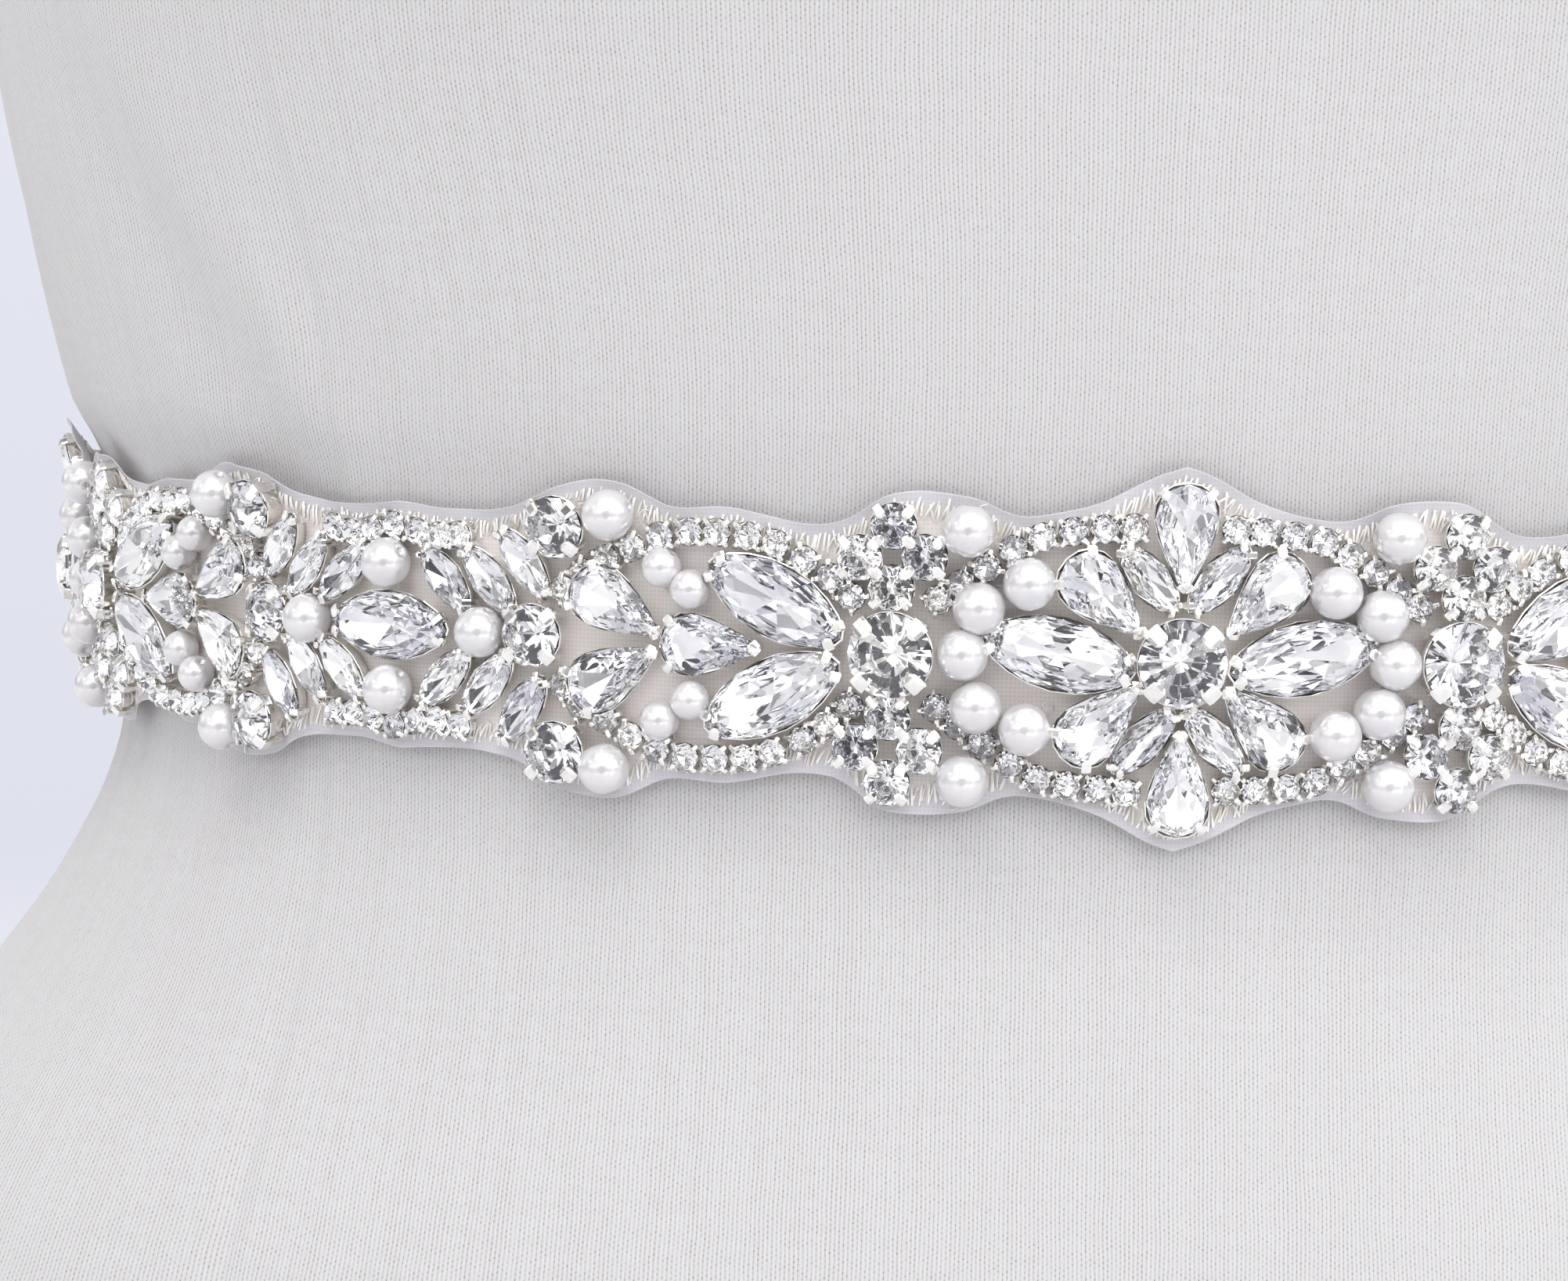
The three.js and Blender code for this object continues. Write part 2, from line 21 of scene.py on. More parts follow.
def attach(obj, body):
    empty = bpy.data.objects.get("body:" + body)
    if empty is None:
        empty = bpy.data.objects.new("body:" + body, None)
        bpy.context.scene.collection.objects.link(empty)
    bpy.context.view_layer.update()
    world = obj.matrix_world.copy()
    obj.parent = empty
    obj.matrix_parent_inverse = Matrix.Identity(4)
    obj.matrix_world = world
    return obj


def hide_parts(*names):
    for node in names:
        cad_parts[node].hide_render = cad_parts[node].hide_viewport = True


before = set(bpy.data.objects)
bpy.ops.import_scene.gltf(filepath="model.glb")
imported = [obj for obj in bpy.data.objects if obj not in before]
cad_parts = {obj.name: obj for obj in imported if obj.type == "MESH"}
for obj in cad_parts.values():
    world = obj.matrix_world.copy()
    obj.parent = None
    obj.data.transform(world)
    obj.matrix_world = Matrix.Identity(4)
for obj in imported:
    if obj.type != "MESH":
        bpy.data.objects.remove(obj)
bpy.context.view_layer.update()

# %% [markdown]
# ## Sizes
#
# The pieces are curved sheets and rows of stones, so they are easiest to place with the same few functions
# that made the solids. All sizes below are millimetres, and heights are above the sash's middle line. A
# smooth curve through one column of a short table gives each level of the form its width and depth.

# %% Tables of sizes
MM = 0.001
WAIST_HEIGHT = 245
SASH_GAP = 0.4
BEAD_LEVEL = 3.2
SEAM_GAP = 0.3


def table(columns, *rows):
    """Named columns of numbers."""
    return {name: np.array(column, float) for name, column in zip(columns.split(), zip(*rows))}


def smooth_column(rows, key, name, at):
    """A smooth curve through one column against another, by cubic pieces that share their slopes."""
    keys, values = rows[key], rows[name]
    order = np.arange(len(keys))
    before = np.maximum(order - 1, 0)
    after = np.minimum(order + 1, len(keys) - 1)
    slope = (values[after] - values[before]) / (keys[after] - keys[before])
    at = np.asarray(at, float)
    i = np.clip(np.searchsorted(keys, at, side="right") - 1, 0, len(keys) - 2)
    span = keys[i + 1] - keys[i]
    t = np.clip((at - keys[i]) / span, 0, 1)
    rise = (values[i + 1] - values[i]) * t * t * (3 - 2 * t)
    return values[i] + rise + span * t * (1 - t) * ((1 - t) * slope[i] - t * slope[i + 1])


TORSO_SECTIONS = table(
    "height side front back square",
    (-239, 167, 101, 110, 2.25),
    (-185, 171, 105, 116.5, 2.25),
    (-120, 162, 106, 112, 2.15),
    (-70, 145.5, 102, 102, 2.05),
    (-38, 123, 96.4, 94.6, 2),
    (-20, 115, 94.3, 93.2, 2),
    (-6, 115.6, 94, 93.2, 2),
    (8, 115.9, 94, 93.6, 2),
    (14, 117.2, 94.2, 94, 2),
    (21, 121, 95, 95.2, 2),
    (48, 127.6, 97.2, 99.5, 2),
    (95, 134.5, 102, 107.5, 2.1),
    (150, 146, 107, 113, 2.2),
    (200, 151, 103, 115, 2.25),
    (240, 161, 94, 112.5, 2.25),
    (280, 181, 80, 106, 2.2),
    (315, 186, 66, 94, 2.2),
    (340, 172, 56, 81, 2.2),
    (357, 140, 50, 71, 2.15),
    (370, 101, 47, 64, 2.1),
    (382, 71, 46, 59, 2),
    (396, 59, 47, 56, 2),
    (436, 55, 49, 53, 2),
)
TORSO_BOTTOM = -238.7
NECK_TOP = 436
BUST_SIDE = 80
BUST_HEIGHT = 148
BUST_RISE = 16.5
BUST_SPREAD = 47
BUST_ABOVE = 62
ARM_PLATE_SIDE = 163
ARM_PLATE_EDGE = 3
ARM_PLATE_FROM = 150

# %% The form's surface
def section_at(height, *names):
    """Some of the form's columns of sizes at a height."""
    return [smooth_column(TORSO_SECTIONS, "height", name, height) for name in names]


def form_surface(angle, height):
    """Points of the form. The angle is 0 at the front and grows towards -X."""
    angle, height = np.broadcast_arrays(np.asarray(angle, float), np.asarray(height, float))
    side, front, back, power = section_at(height, "side", "front", "back", "square")
    depth = np.where(np.cos(angle) > 0, front, back)
    across = np.abs(np.sin(angle) / side) ** power
    through = np.abs(np.cos(angle) / depth) ** power
    radius = (across + through) ** (-1 / power)
    x = -radius * np.sin(angle)
    y = -radius * np.cos(angle)
    drop = height - BUST_HEIGHT
    tall = np.where(drop > 0, BUST_ABOVE, BUST_SPREAD)
    bust = BUST_RISE * np.exp(-(((np.abs(x) - BUST_SIDE) / BUST_SPREAD) ** 2) - (drop / tall) ** 2)
    y = y - np.where(np.cos(angle) > 0, bust, 0)
    inside = (np.abs(x) - ARM_PLATE_SIDE) / ARM_PLATE_EDGE
    flat = np.sign(x) * (np.abs(x) - ARM_PLATE_EDGE * np.log1p(np.exp(inside)))
    x = np.where(height < ARM_PLATE_FROM, x, flat)
    return np.stack([x, y, height + WAIST_HEIGHT], -1)


def off_form(angle, height, out):
    """Points that lie out from the form, square to it."""
    turn, lift = 0.002, 0.2
    around = form_surface(np.add(angle, turn), height) - form_surface(np.subtract(angle, turn), height)
    rise = form_surface(angle, np.add(height, lift)) - form_surface(angle, np.subtract(height, lift))
    normal = np.cross(rise, around)
    normal /= np.linalg.norm(normal, axis=-1, keepdims=True)
    return form_surface(angle, height) + normal * np.asarray(out, float)[..., None]

# %% [markdown]
# The sash is laid out as a maker lays it on a table, by its length from the middle of the front and its
# height from its middle line. A table of arc lengths round the waist then bends it onto the form.

# %% Bend the flat sash round the waist
ROUND_STEPS = 1440
round_angles = np.linspace(0, math.pi, ROUND_STEPS + 1)
round_points = off_form(round_angles, 0, BEAD_LEVEL)
round_steps = np.linalg.norm(np.diff(round_points, axis=0), axis=1)
round_lengths = np.concatenate([[0], np.cumsum(round_steps)])
HALF_ROUND = round_lengths[-1]
WAIST_RADIUS = HALF_ROUND / math.pi


def angle_at(along):
    return np.sign(along) * np.interp(np.abs(along), round_lengths, round_angles)


def on_sash(along, up, out):
    return off_form(angle_at(along), up, SASH_GAP + np.asarray(out, float))


print("half of the waist's girth, at the beads:", round(float(HALF_ROUND), 1), "mm")

# %% [markdown]
# ## Helpers for meshes
#
# Each piece is a mesh of points and faces. A sheet is a grid of points, and a bead or a cup is a stack of
# rings, so two functions write their faces. A third makes the Blender object, scales it to metres and lets
# it ride with the form. It also turns every face outwards, which glass and bumps need.

# %% Faces of grids and rings, and pieces made of them
def grid_faces(columns, rows, first=0, closed=False):
    """Quads of a grid whose points go down each column. A closed grid joins its last column to its first."""
    i, j = np.meshgrid(np.arange(columns if closed else columns - 1), np.arange(rows - 1), indexing="ij")
    a = i * rows + j
    b = ((i + 1) % columns) * rows + j
    return (np.stack([a, a + 1, b + 1, b], -1).reshape(-1, 4) + first).tolist()


def ring_walls(rings, sides):
    """Quads between each ring of points and the next, where every ring has the same number of sides."""
    faces = []
    for r in range(rings - 1):
        for i in range(sides):
            a, b = r * sides + i, r * sides + (i + 1) % sides
            faces.append([a, b, b + sides, a + sides])
    return faces


def make_piece(name, points, faces, materials, smooth=True, slots=None):
    """A Blender object from points in millimetres. slots tells which of the materials each face has."""
    mesh = bpy.data.meshes.new(name)
    mesh.from_pydata((np.asarray(points, float).reshape(-1, 3) * MM).tolist(), [], faces)
    for material in materials:
        mesh.materials.append(material)
    if slots is not None:
        mesh.polygons.foreach_set("material_index", slots)
    mesh.polygons.foreach_set("use_smooth", np.full(len(mesh.polygons), smooth))
    turned = bmesh.new()
    turned.from_mesh(mesh)
    bmesh.ops.recalc_face_normals(turned, faces=turned.faces)
    turned.to_mesh(mesh)
    turned.free()
    piece = bpy.data.objects.new(name, mesh)
    bpy.context.scene.collection.objects.link(piece)
    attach(piece, "root")
    print(name, "has", sum(len(face) - 2 for face in faces), "triangles")
    return piece


def give_points(piece, name, values):
    """Stores a number or a vector with each point, for the material to read."""
    values = np.asarray(values, np.float32)
    kind, field = ("FLOAT", "value") if values.ndim == 1 else ("FLOAT_VECTOR", "vector")
    attribute = piece.data.attributes.new(name, kind, "POINT")
    attribute.data.foreach_set(field, values.ravel())


def cloth_shell(columns, rows, at):
    """Points and faces of a thin closed sheet. at(u, v, side) gives its points, inside for side 0."""
    u, v = np.meshgrid(np.linspace(0, 1, columns), np.linspace(0, 1, rows), indexing="ij")
    count = columns * rows
    points = np.concatenate([at(u, v, side).reshape(-1, 3) for side in (0, 1)])
    inner = [face[::-1] for face in grid_faces(columns, rows)]
    outer = grid_faces(columns, rows, first=count)
    grid = np.arange(count).reshape(columns, rows)
    rim = np.concatenate([grid[:, 0], grid[-1, 1:], grid[-2::-1, -1], grid[0, -2:0:-1]])
    after = np.roll(rim, -1)
    edge = np.stack([rim, after, after + count, rim + count], -1).tolist()
    return points, inner + outer + edge

# %% [markdown]
# ## Materials
#
# Every material starts from what the real thing is. One function turns a colour that is given in sRGB hex
# into the linear numbers that the renderer adds up. A second one adds a node with its settings and links.

# %% Helpers for materials
def linear(colour):
    """An sRGB hex colour as linear red, green, blue and alpha."""
    parts = [int(colour[i : i + 2], 16) / 255 for i in (1, 3, 5)]
    return tuple(c / 12.92 if c <= 0.04045 else ((c + 0.055) / 1.055) ** 2.4 for c in parts) + (1.0,)


def add_node(tree, kind, inputs=None, **settings):
    """Adds a node, sets it, and fills or links its inputs, which are named or numbered."""
    node = tree.nodes.new(kind)
    for name, value in settings.items():
        setattr(node, name, value)
    for name, value in (inputs or {}).items():
        if isinstance(value, bpy.types.NodeSocket):
            tree.links.new(value, node.inputs[name])
        else:
            node.inputs[name].default_value = value
    return node


def new_material(name, **surface):
    """A material with a plain Principled shader, and the constants that the real surface gives it."""
    material = bpy.data.materials.new(name)
    material.use_nodes = True
    shader = material.node_tree.nodes["Principled BSDF"]
    for socket, value in surface.items():
        shader.inputs[socket.replace("_", " ")].default_value = value
    return material, material.node_tree, shader


def colour_ramp(tree, factor, *stops):
    """A ramp through sRGB hex colours, each with its place from 0 to 1."""
    ramp = add_node(tree, "ShaderNodeValToRGB", {"Fac": factor})
    for place, colour in stops[2:]:
        ramp.color_ramp.elements.new(place)
    for element, (place, colour) in zip(ramp.color_ramp.elements, stops):
        element.position = place
        element.color = linear(colour)
    return ramp.outputs["Color"]

# %% [markdown]
# ### Jersey
#
# Jersey is a weft knit. Its face shows upright columns of loops, called wales, with a small dark hole where
# four loops meet. The wales here are 0.47 mm apart and the rows 0.52 mm, counted on the photograph. They
# are drawn from each point's own place in the cloth, so they stretch with it: a soft ridge for each wale,
# and a row of pinholes in the groove between two of them, half a row higher in every second groove.

# %% Jersey
WALE = 0.47
COURSE = 0.52
WALE_WANDER = 0.5
WANDER_LENGTH = 8.33
HOLE_PATCH = 0.769
SLUB = (7.14, 1.25, 1.0)
KNIT_RELIEF = 0.1

# How far the painted shade in the pinholes and the grooves goes towards its dark brown, from the faintest
# groove to the deepest
HOLE_SHADE = 0.66
GROOVE_SHADE = (0.14, 0.3)

jersey, tree, shader = new_material("cotton_jersey", Roughness=0.92, Sheen_Weight=0.18, Sheen_Roughness=0.5)
cloth_place = add_node(tree, "ShaderNodeAttribute", attribute_name="knit_place")
place = add_node(tree, "ShaderNodeSeparateXYZ", {"Vector": cloth_place.outputs["Vector"]})

# Across the wales: a ridge for each, which wanders a little
drift = add_node(
    tree,
    "ShaderNodeTexNoise",
    {"Vector": cloth_place.outputs["Vector"], "Scale": 1 / WANDER_LENGTH, "Detail": 2.0},
)
wander = add_node(tree, "ShaderNodeMath", {0: drift.outputs["Fac"], 1: WALE_WANDER}, operation="MULTIPLY")
across = add_node(tree, "ShaderNodeMath", {0: place.outputs["X"], 1: wander.outputs[0]}, operation="ADD")
wale = add_node(tree, "ShaderNodeMath", {0: across.outputs[0], 1: WALE}, operation="DIVIDE")
wale_turn = add_node(tree, "ShaderNodeMath", {0: wale.outputs[0], 1: math.pi}, operation="MULTIPLY")
wale_wave = add_node(tree, "ShaderNodeMath", {0: wale_turn.outputs[0]}, operation="SINE")
ridge = add_node(tree, "ShaderNodeMath", {0: wale_wave.outputs[0]}, operation="ABSOLUTE")
groove = add_node(tree, "ShaderNodeMapRange", {"Value": ridge.outputs[0], "From Min": 0.7, "From Max": 0.1})

# Along the grooves: a pinhole for each row, half a row higher in every second groove
nearest = add_node(tree, "ShaderNodeMath", {0: wale.outputs[0]}, operation="ROUND")
half_step = add_node(tree, "ShaderNodeMath", {0: nearest.outputs[0], 1: 0.5}, operation="MULTIPLY")
row = add_node(tree, "ShaderNodeMath", {0: place.outputs["Y"], 1: COURSE}, operation="DIVIDE")
row_shift = add_node(tree, "ShaderNodeMath", {0: row.outputs[0], 1: half_step.outputs[0]}, operation="ADD")
row_turn = add_node(tree, "ShaderNodeMath", {0: row_shift.outputs[0], 1: 2 * math.pi}, operation="MULTIPLY")
row_wave = add_node(tree, "ShaderNodeMath", {0: row_turn.outputs[0]}, operation="COSINE")
row_mask = add_node(
    tree, "ShaderNodeMapRange", {"Value": row_wave.outputs[0], "From Min": -0.1, "From Max": 0.9}
)
hole = add_node(tree, "ShaderNodeMath", {0: groove.outputs[0], 1: row_mask.outputs[0]}, operation="MULTIPLY")

# Some pinholes are open, with deep painted shade, and others nearly closed
hole_noise = add_node(
    tree,
    "ShaderNodeTexNoise",
    {"Vector": cloth_place.outputs["Vector"], "Scale": 1 / HOLE_PATCH, "Detail": 1.0},
)
hole_depth = add_node(
    tree,
    "ShaderNodeMapRange",
    {"Value": hole_noise.outputs["Fac"], "From Min": 0.35, "From Max": 0.65, "To Min": 0.15},
)
pinhole = add_node(
    tree, "ShaderNodeMath", {0: hole.outputs[0], 1: hole_depth.outputs[0]}, operation="MULTIPLY"
)

# The colour: yarn with faint slubs, and painted shade in the grooves that is darkest in the pinholes
slub = add_node(
    tree,
    "ShaderNodeMapping",
    {"Vector": cloth_place.outputs["Vector"], "Scale": [1 / size for size in SLUB]},
)
streak = add_node(tree, "ShaderNodeTexNoise", {"Vector": slub.outputs[0], "Scale": 1.0, "Detail": 3.0})
yarn = colour_ramp(tree, streak.outputs["Fac"], (0.2, "#CBCACB"), (0.8, "#CFCECF"))
wale_own = add_node(tree, "ShaderNodeTexWhiteNoise", {"W": nearest.outputs[0]}, noise_dimensions="1D")
wale_depth = add_node(
    tree,
    "ShaderNodeMapRange",
    {"Value": wale_own.outputs["Value"], "To Min": GROOVE_SHADE[0], "To Max": GROOVE_SHADE[1]},
)
groove_shade = add_node(
    tree, "ShaderNodeMath", {0: groove.outputs[0], 1: wale_depth.outputs[0]}, operation="MULTIPLY"
)
shade = add_node(
    tree,
    "ShaderNodeMath",
    {0: pinhole.outputs[0], 1: HOLE_SHADE, 2: groove_shade.outputs[0]},
    operation="MULTIPLY_ADD",
)
# The dark brown is painted shade, for the shade down in the grooves and pinholes
knit_colour = add_node(
    tree, "ShaderNodeMix", {0: shade.outputs[0], 6: yarn, 7: linear("#8B8074")}, data_type="RGBA"
)
tree.links.new(knit_colour.outputs[2], shader.inputs["Base Color"])

height = add_node(tree, "ShaderNodeMath", {0: ridge.outputs[0], 1: pinhole.outputs[0]}, operation="SUBTRACT")
bump = add_node(
    tree,
    "ShaderNodeBump",
    {"Height": height.outputs[0], "Strength": 0.5, "Distance": KNIT_RELIEF * MM},
)
tree.links.new(bump.outputs[0], shader.inputs["Normal"])
print("wales to the centimetre:", round(10 / WALE))

# %% [markdown]
# ### Organza
#
# Organza is a plain weave of fine, stiff polyester filament, so it is sheer and a little shiny. Two plies
# of it carry this beadwork. Between the stones it lies in their shade and looks warm and grey, and there its
# colour is painted near white, a painted light for what comes through the real sheer cloth. Under the whip
# stitches it is painted a darker beige, a painted shade, and its free rim is painted cooler in tone, nearly
# as pale as the jersey behind it, for the jersey's shade seen through it. Its threads are 0.21 mm apart,
# which is finer than a pixel here, so the weave is drawn twice as coarse. Alpha lets a little of the form
# show between the threads.

# %% Organza
THREAD = 0.42
RIM_FADE = (2.9, 1.2)
WOVEN_ALPHA = (0.9, 0.98)
RIM_ALPHA = 0.9

organza, tree, shader = new_material(
    "polyester_organza", Roughness=0.45, Sheen_Weight=0.3, Sheen_Roughness=0.35
)
weave_place = add_node(tree, "ShaderNodeAttribute", attribute_name="weave_place")
flat_place = add_node(tree, "ShaderNodeSeparateXYZ", {"Vector": weave_place.outputs["Vector"]})
threads = []
for axis in ("X", "Y"):
    turn = add_node(
        tree, "ShaderNodeMath", {0: flat_place.outputs[axis], 1: 2 * math.pi / THREAD}, operation="MULTIPLY"
    )
    wave = add_node(tree, "ShaderNodeMath", {0: turn.outputs[0]}, operation="COSINE")
    threads.append(
        add_node(tree, "ShaderNodeMapRange", {"Value": wave.outputs[0], "From Min": -0.6, "From Max": 0.8})
    )
woven = add_node(
    tree, "ShaderNodeMath", {0: threads[0].outputs[0], 1: threads[1].outputs[0]}, operation="MAXIMUM"
)
from_edge = add_node(tree, "ShaderNodeAttribute", attribute_name="from_edge")
near_rim = add_node(
    tree,
    "ShaderNodeMapRange",
    {"Value": from_edge.outputs["Fac"], "From Min": RIM_FADE[0], "From Max": RIM_FADE[1]},
)
# Painted light and shade: palest far inside the rim, where the stones shade the cloth, a painted darker beige
# shade under the whip stitches, and a cooler, darker rim for the shaded jersey seen through it
organza_tone_with_painted_light = colour_ramp(
    tree, near_rim.outputs[0], (0.0, "#FBF5F2"), (0.3, "#ECE5DE"), (0.75, "#E0DBD8"), (1.0, "#D5D3D8")
)
thread_tone = add_node(
    tree, "ShaderNodeMix", {0: woven.outputs[0], 6: linear("#F6F0ED"), 7: organza_tone_with_painted_light}, data_type="RGBA"
)
rim_cover = add_node(
    tree,
    "ShaderNodeMix",
    {0: near_rim.outputs[0], 6: thread_tone.outputs[2], 7: organza_tone_with_painted_light},
    data_type="RGBA",
)
tree.links.new(rim_cover.outputs[2], shader.inputs["Base Color"])
opening = add_node(
    tree,
    "ShaderNodeMapRange",
    {"Value": woven.outputs[0], "To Min": WOVEN_ALPHA[0], "To Max": WOVEN_ALPHA[1]},
)
rim_plies = add_node(tree, "ShaderNodeMath", {0: near_rim.outputs[0], 1: RIM_ALPHA}, operation="MULTIPLY")
cover_share = add_node(
    tree, "ShaderNodeMath", {0: opening.outputs[0], 1: rim_plies.outputs[0]}, operation="MAXIMUM"
)
tree.links.new(cover_share.outputs[0], shader.inputs["Alpha"])
print("organza threads to the centimetre, as drawn:", round(10 / THREAD))

# %% [markdown]
# ### Glass, foil, pearl and the metals
#
# A rhinestone is a cut piece of clear lead-free glass with a silver foil on its back. Light goes in through
# the crown, is mirrored by the foil behind each pavilion facet, and comes out again, so the stone shows
# bits of the room, white, grey and black. The same is done here: the crown is glass and the pavilion is a
# mirror.
#
# The claws and cups are brass with a bright silver plating. The pearls are plastic beads in several coats
# of pearl lacquer. Its fine flakes mirror a little, so the material is a quarter metallic under a clear
# coat that reflects strongly. The thread is clear nylon, drawn white and glossy. One function makes all of
# these finishes, each with a faint grain in its tone that is coarser than the real one, so that it shows.

# %% Glass, foil, metals and pearl
# Sizes of the grain in millimetres
FOIL_CLOUD = 3.846
PLATE_GRAIN = 1.111
PEARL_CLOUD = 2.381
THREAD_CLOUD = 1.429


def grained(name, grain, detail, tones, rough=None, **surface):
    """A material whose tone, and roughness where it is given, vary with a grain of so many millimetres."""
    material, tree, shader = new_material(name, **surface)
    spot = add_node(tree, "ShaderNodeTexCoord")
    noise = add_node(
        tree,
        "ShaderNodeTexNoise",
        {"Vector": spot.outputs["Object"], "Scale": 1 / (grain * MM), "Detail": detail},
    )
    tree.links.new(colour_ramp(tree, noise.outputs["Fac"], *tones), shader.inputs["Base Color"])
    if rough:
        patchy = add_node(
            tree,
            "ShaderNodeMapRange",
            {"Value": noise.outputs["Fac"], "To Min": rough[0], "To Max": rough[1]},
        )
        tree.links.new(patchy.outputs[0], shader.inputs["Roughness"])
    return material, tree, shader, noise


crystal_glass, *_ = new_material(
    "crystal_glass", Base_Color=linear("#FFFFFF"), Roughness=0.0, IOR=1.56, Transmission_Weight=1.0
)
mirror_foil, *_ = grained(
    "silver_foil", FOIL_CLOUD, 1.0, ((0.35, "#E4E4E8"), (0.65, "#FBFBFA")), (0.0, 0.05), Metallic=1.0
)
silver_plate, *_ = grained(
    "silver_plated_brass", PLATE_GRAIN, 2.0, ((0.3, "#EAE7E2"), (0.7, "#FBFAF7")), (0.08, 0.22), Metallic=1.0
)
pearl_lacquer, *_ = grained(
    "pearl_lacquer",
    PEARL_CLOUD,
    3.0,
    ((0.3, "#D6D4D6"), (0.7, "#E0DEDE")),
    (0.26, 0.4),
    Metallic=0.25,
    Coat_Weight=1.0,
    Coat_Roughness=0.1,
    Coat_IOR=2.2,
    IOR=1.53,
)
clear_thread, *_ = grained(
    "nylon_monofilament",
    THREAD_CLOUD,
    1.0,
    ((0.35, "#FAF5EE"), (0.65, "#FFFFFF")),
    Roughness=0.12,
    IOR=1.53,
    Sheen_Weight=0.2,
    Coat_Weight=0.6,
)
print("materials so far:", [material.name for material in bpy.data.materials])

# %% [markdown]
# ### Satin and the form's hard pieces
#
# Satin is woven with long floats, so its threads catch the light together and it shines along the folds.
# Its filaments are far finer than a pixel; the fine lines here are ten times as coarse. The form's base is
# a painted board and its neck cap a moulded plastic disc with a fine matt texture.

# %% Satin, painted board and moulded plastic
SATIN_LINE = 0.5
SATIN_MOTTLE = 6.667
SATIN_RELIEF = 0.02
PLASTIC_RELIEF = 0.05

satin, tree, shader = new_material(
    "polyester_satin", Roughness=0.36, Sheen_Weight=0.35, Sheen_Roughness=0.3, Anisotropic=0.5
)
satin_place = add_node(tree, "ShaderNodeAttribute", attribute_name="weave_place")
satin_axes = add_node(tree, "ShaderNodeSeparateXYZ", {"Vector": satin_place.outputs["Vector"]})
satin_turn = add_node(
    tree, "ShaderNodeMath", {0: satin_axes.outputs["Y"], 1: 2 * math.pi / SATIN_LINE}, operation="MULTIPLY"
)
satin_wave = add_node(tree, "ShaderNodeMath", {0: satin_turn.outputs[0]}, operation="SINE")
satin_mottle = add_node(
    tree,
    "ShaderNodeTexNoise",
    {"Vector": satin_place.outputs["Vector"], "Scale": 1 / SATIN_MOTTLE, "Detail": 3.0},
)
satin_tone = colour_ramp(tree, satin_mottle.outputs["Fac"], (0.3, "#E3DDD2"), (0.7, "#E6E1D7"))
tree.links.new(satin_tone, shader.inputs["Base Color"])
satin_bump = add_node(
    tree,
    "ShaderNodeBump",
    {"Height": satin_wave.outputs[0], "Strength": 0.12, "Distance": SATIN_RELIEF * MM},
)
tree.links.new(satin_bump.outputs[0], shader.inputs["Normal"])


def grained_plastic(name, dark, light, grain, rough):
    """A hard matt surface whose fine grain is also a slight relief."""
    material, tree, shader, noise = grained(name, grain, 3.0, ((0.3, dark), (0.7, light)), rough, IOR=1.5)
    relief = add_node(
        tree,
        "ShaderNodeBump",
        {"Height": noise.outputs["Fac"], "Strength": 0.2, "Distance": PLASTIC_RELIEF * MM},
    )
    tree.links.new(relief.outputs[0], shader.inputs["Normal"])
    return material


painted_board = grained_plastic("painted_board", "#D6D1CA", "#E1DCD6", 1.6, (0.42, 0.6))
moulded_cap = grained_plastic("moulded_abs", "#C6C3BF", "#CFCCC8", 0.6, (0.38, 0.5))

# %% [markdown]
# ## The camera
#
# The photograph looks a little down at the sash from the front. The camera's place and lens were found by
# fitting the middles of 73 stones and pearls of the solid model, and the form's outline above the sash, to
# where they are in the picture. Yaw is the turn to the right, pitch is the tilt upwards and roll turns the
# picture.

# %% Camera
CAMERA_SPOT = (-51.8, -396.3, 31.7 + WAIST_HEIGHT)
CAMERA_YAW = math.radians(2.66)
CAMERA_PITCH = math.radians(-5.8)
CAMERA_ROLL = math.radians(1.26)
CAMERA_LENS = 73.06

forward = np.array(
    [
        math.sin(CAMERA_YAW) * math.cos(CAMERA_PITCH),
        math.cos(CAMERA_YAW) * math.cos(CAMERA_PITCH),
        math.sin(CAMERA_PITCH),
    ]
)
level_right = np.cross(forward, (0, 0, 1))
level_right /= np.linalg.norm(level_right)
level_up = np.cross(level_right, forward)
right = level_right * math.cos(CAMERA_ROLL) + level_up * math.sin(CAMERA_ROLL)
upward = level_up * math.cos(CAMERA_ROLL) - level_right * math.sin(CAMERA_ROLL)

camera = bpy.data.objects.new("camera", bpy.data.cameras.new("camera"))
bpy.context.scene.collection.objects.link(camera)
camera.data.lens = CAMERA_LENS
camera.data.clip_start = 0.01
camera.data.dof.use_dof = False
camera.matrix_world = Matrix.Translation([c * MM for c in CAMERA_SPOT]) @ Matrix(
    np.column_stack([right, upward, -forward]).tolist()
).to_4x4()
bpy.context.scene.camera = camera
print("camera at", [round(c, 3) for c in camera.matrix_world.translation])

# %% [markdown]
# ## The form's cover
#
# The jersey is a tube, shaped by seams, that is pulled over the foam and turned under at the base. It is
# one mesh with a column of points for each few degrees. The columns crowd together at the seams, where a
# narrow trough shows that the two panels are sewn. The front seams lie about 52 degrees from the middle,
# placed as in the photograph, and a seam down the middle of the back closes the tube. A few broad, shallow
# troughs are the cover's own creases.

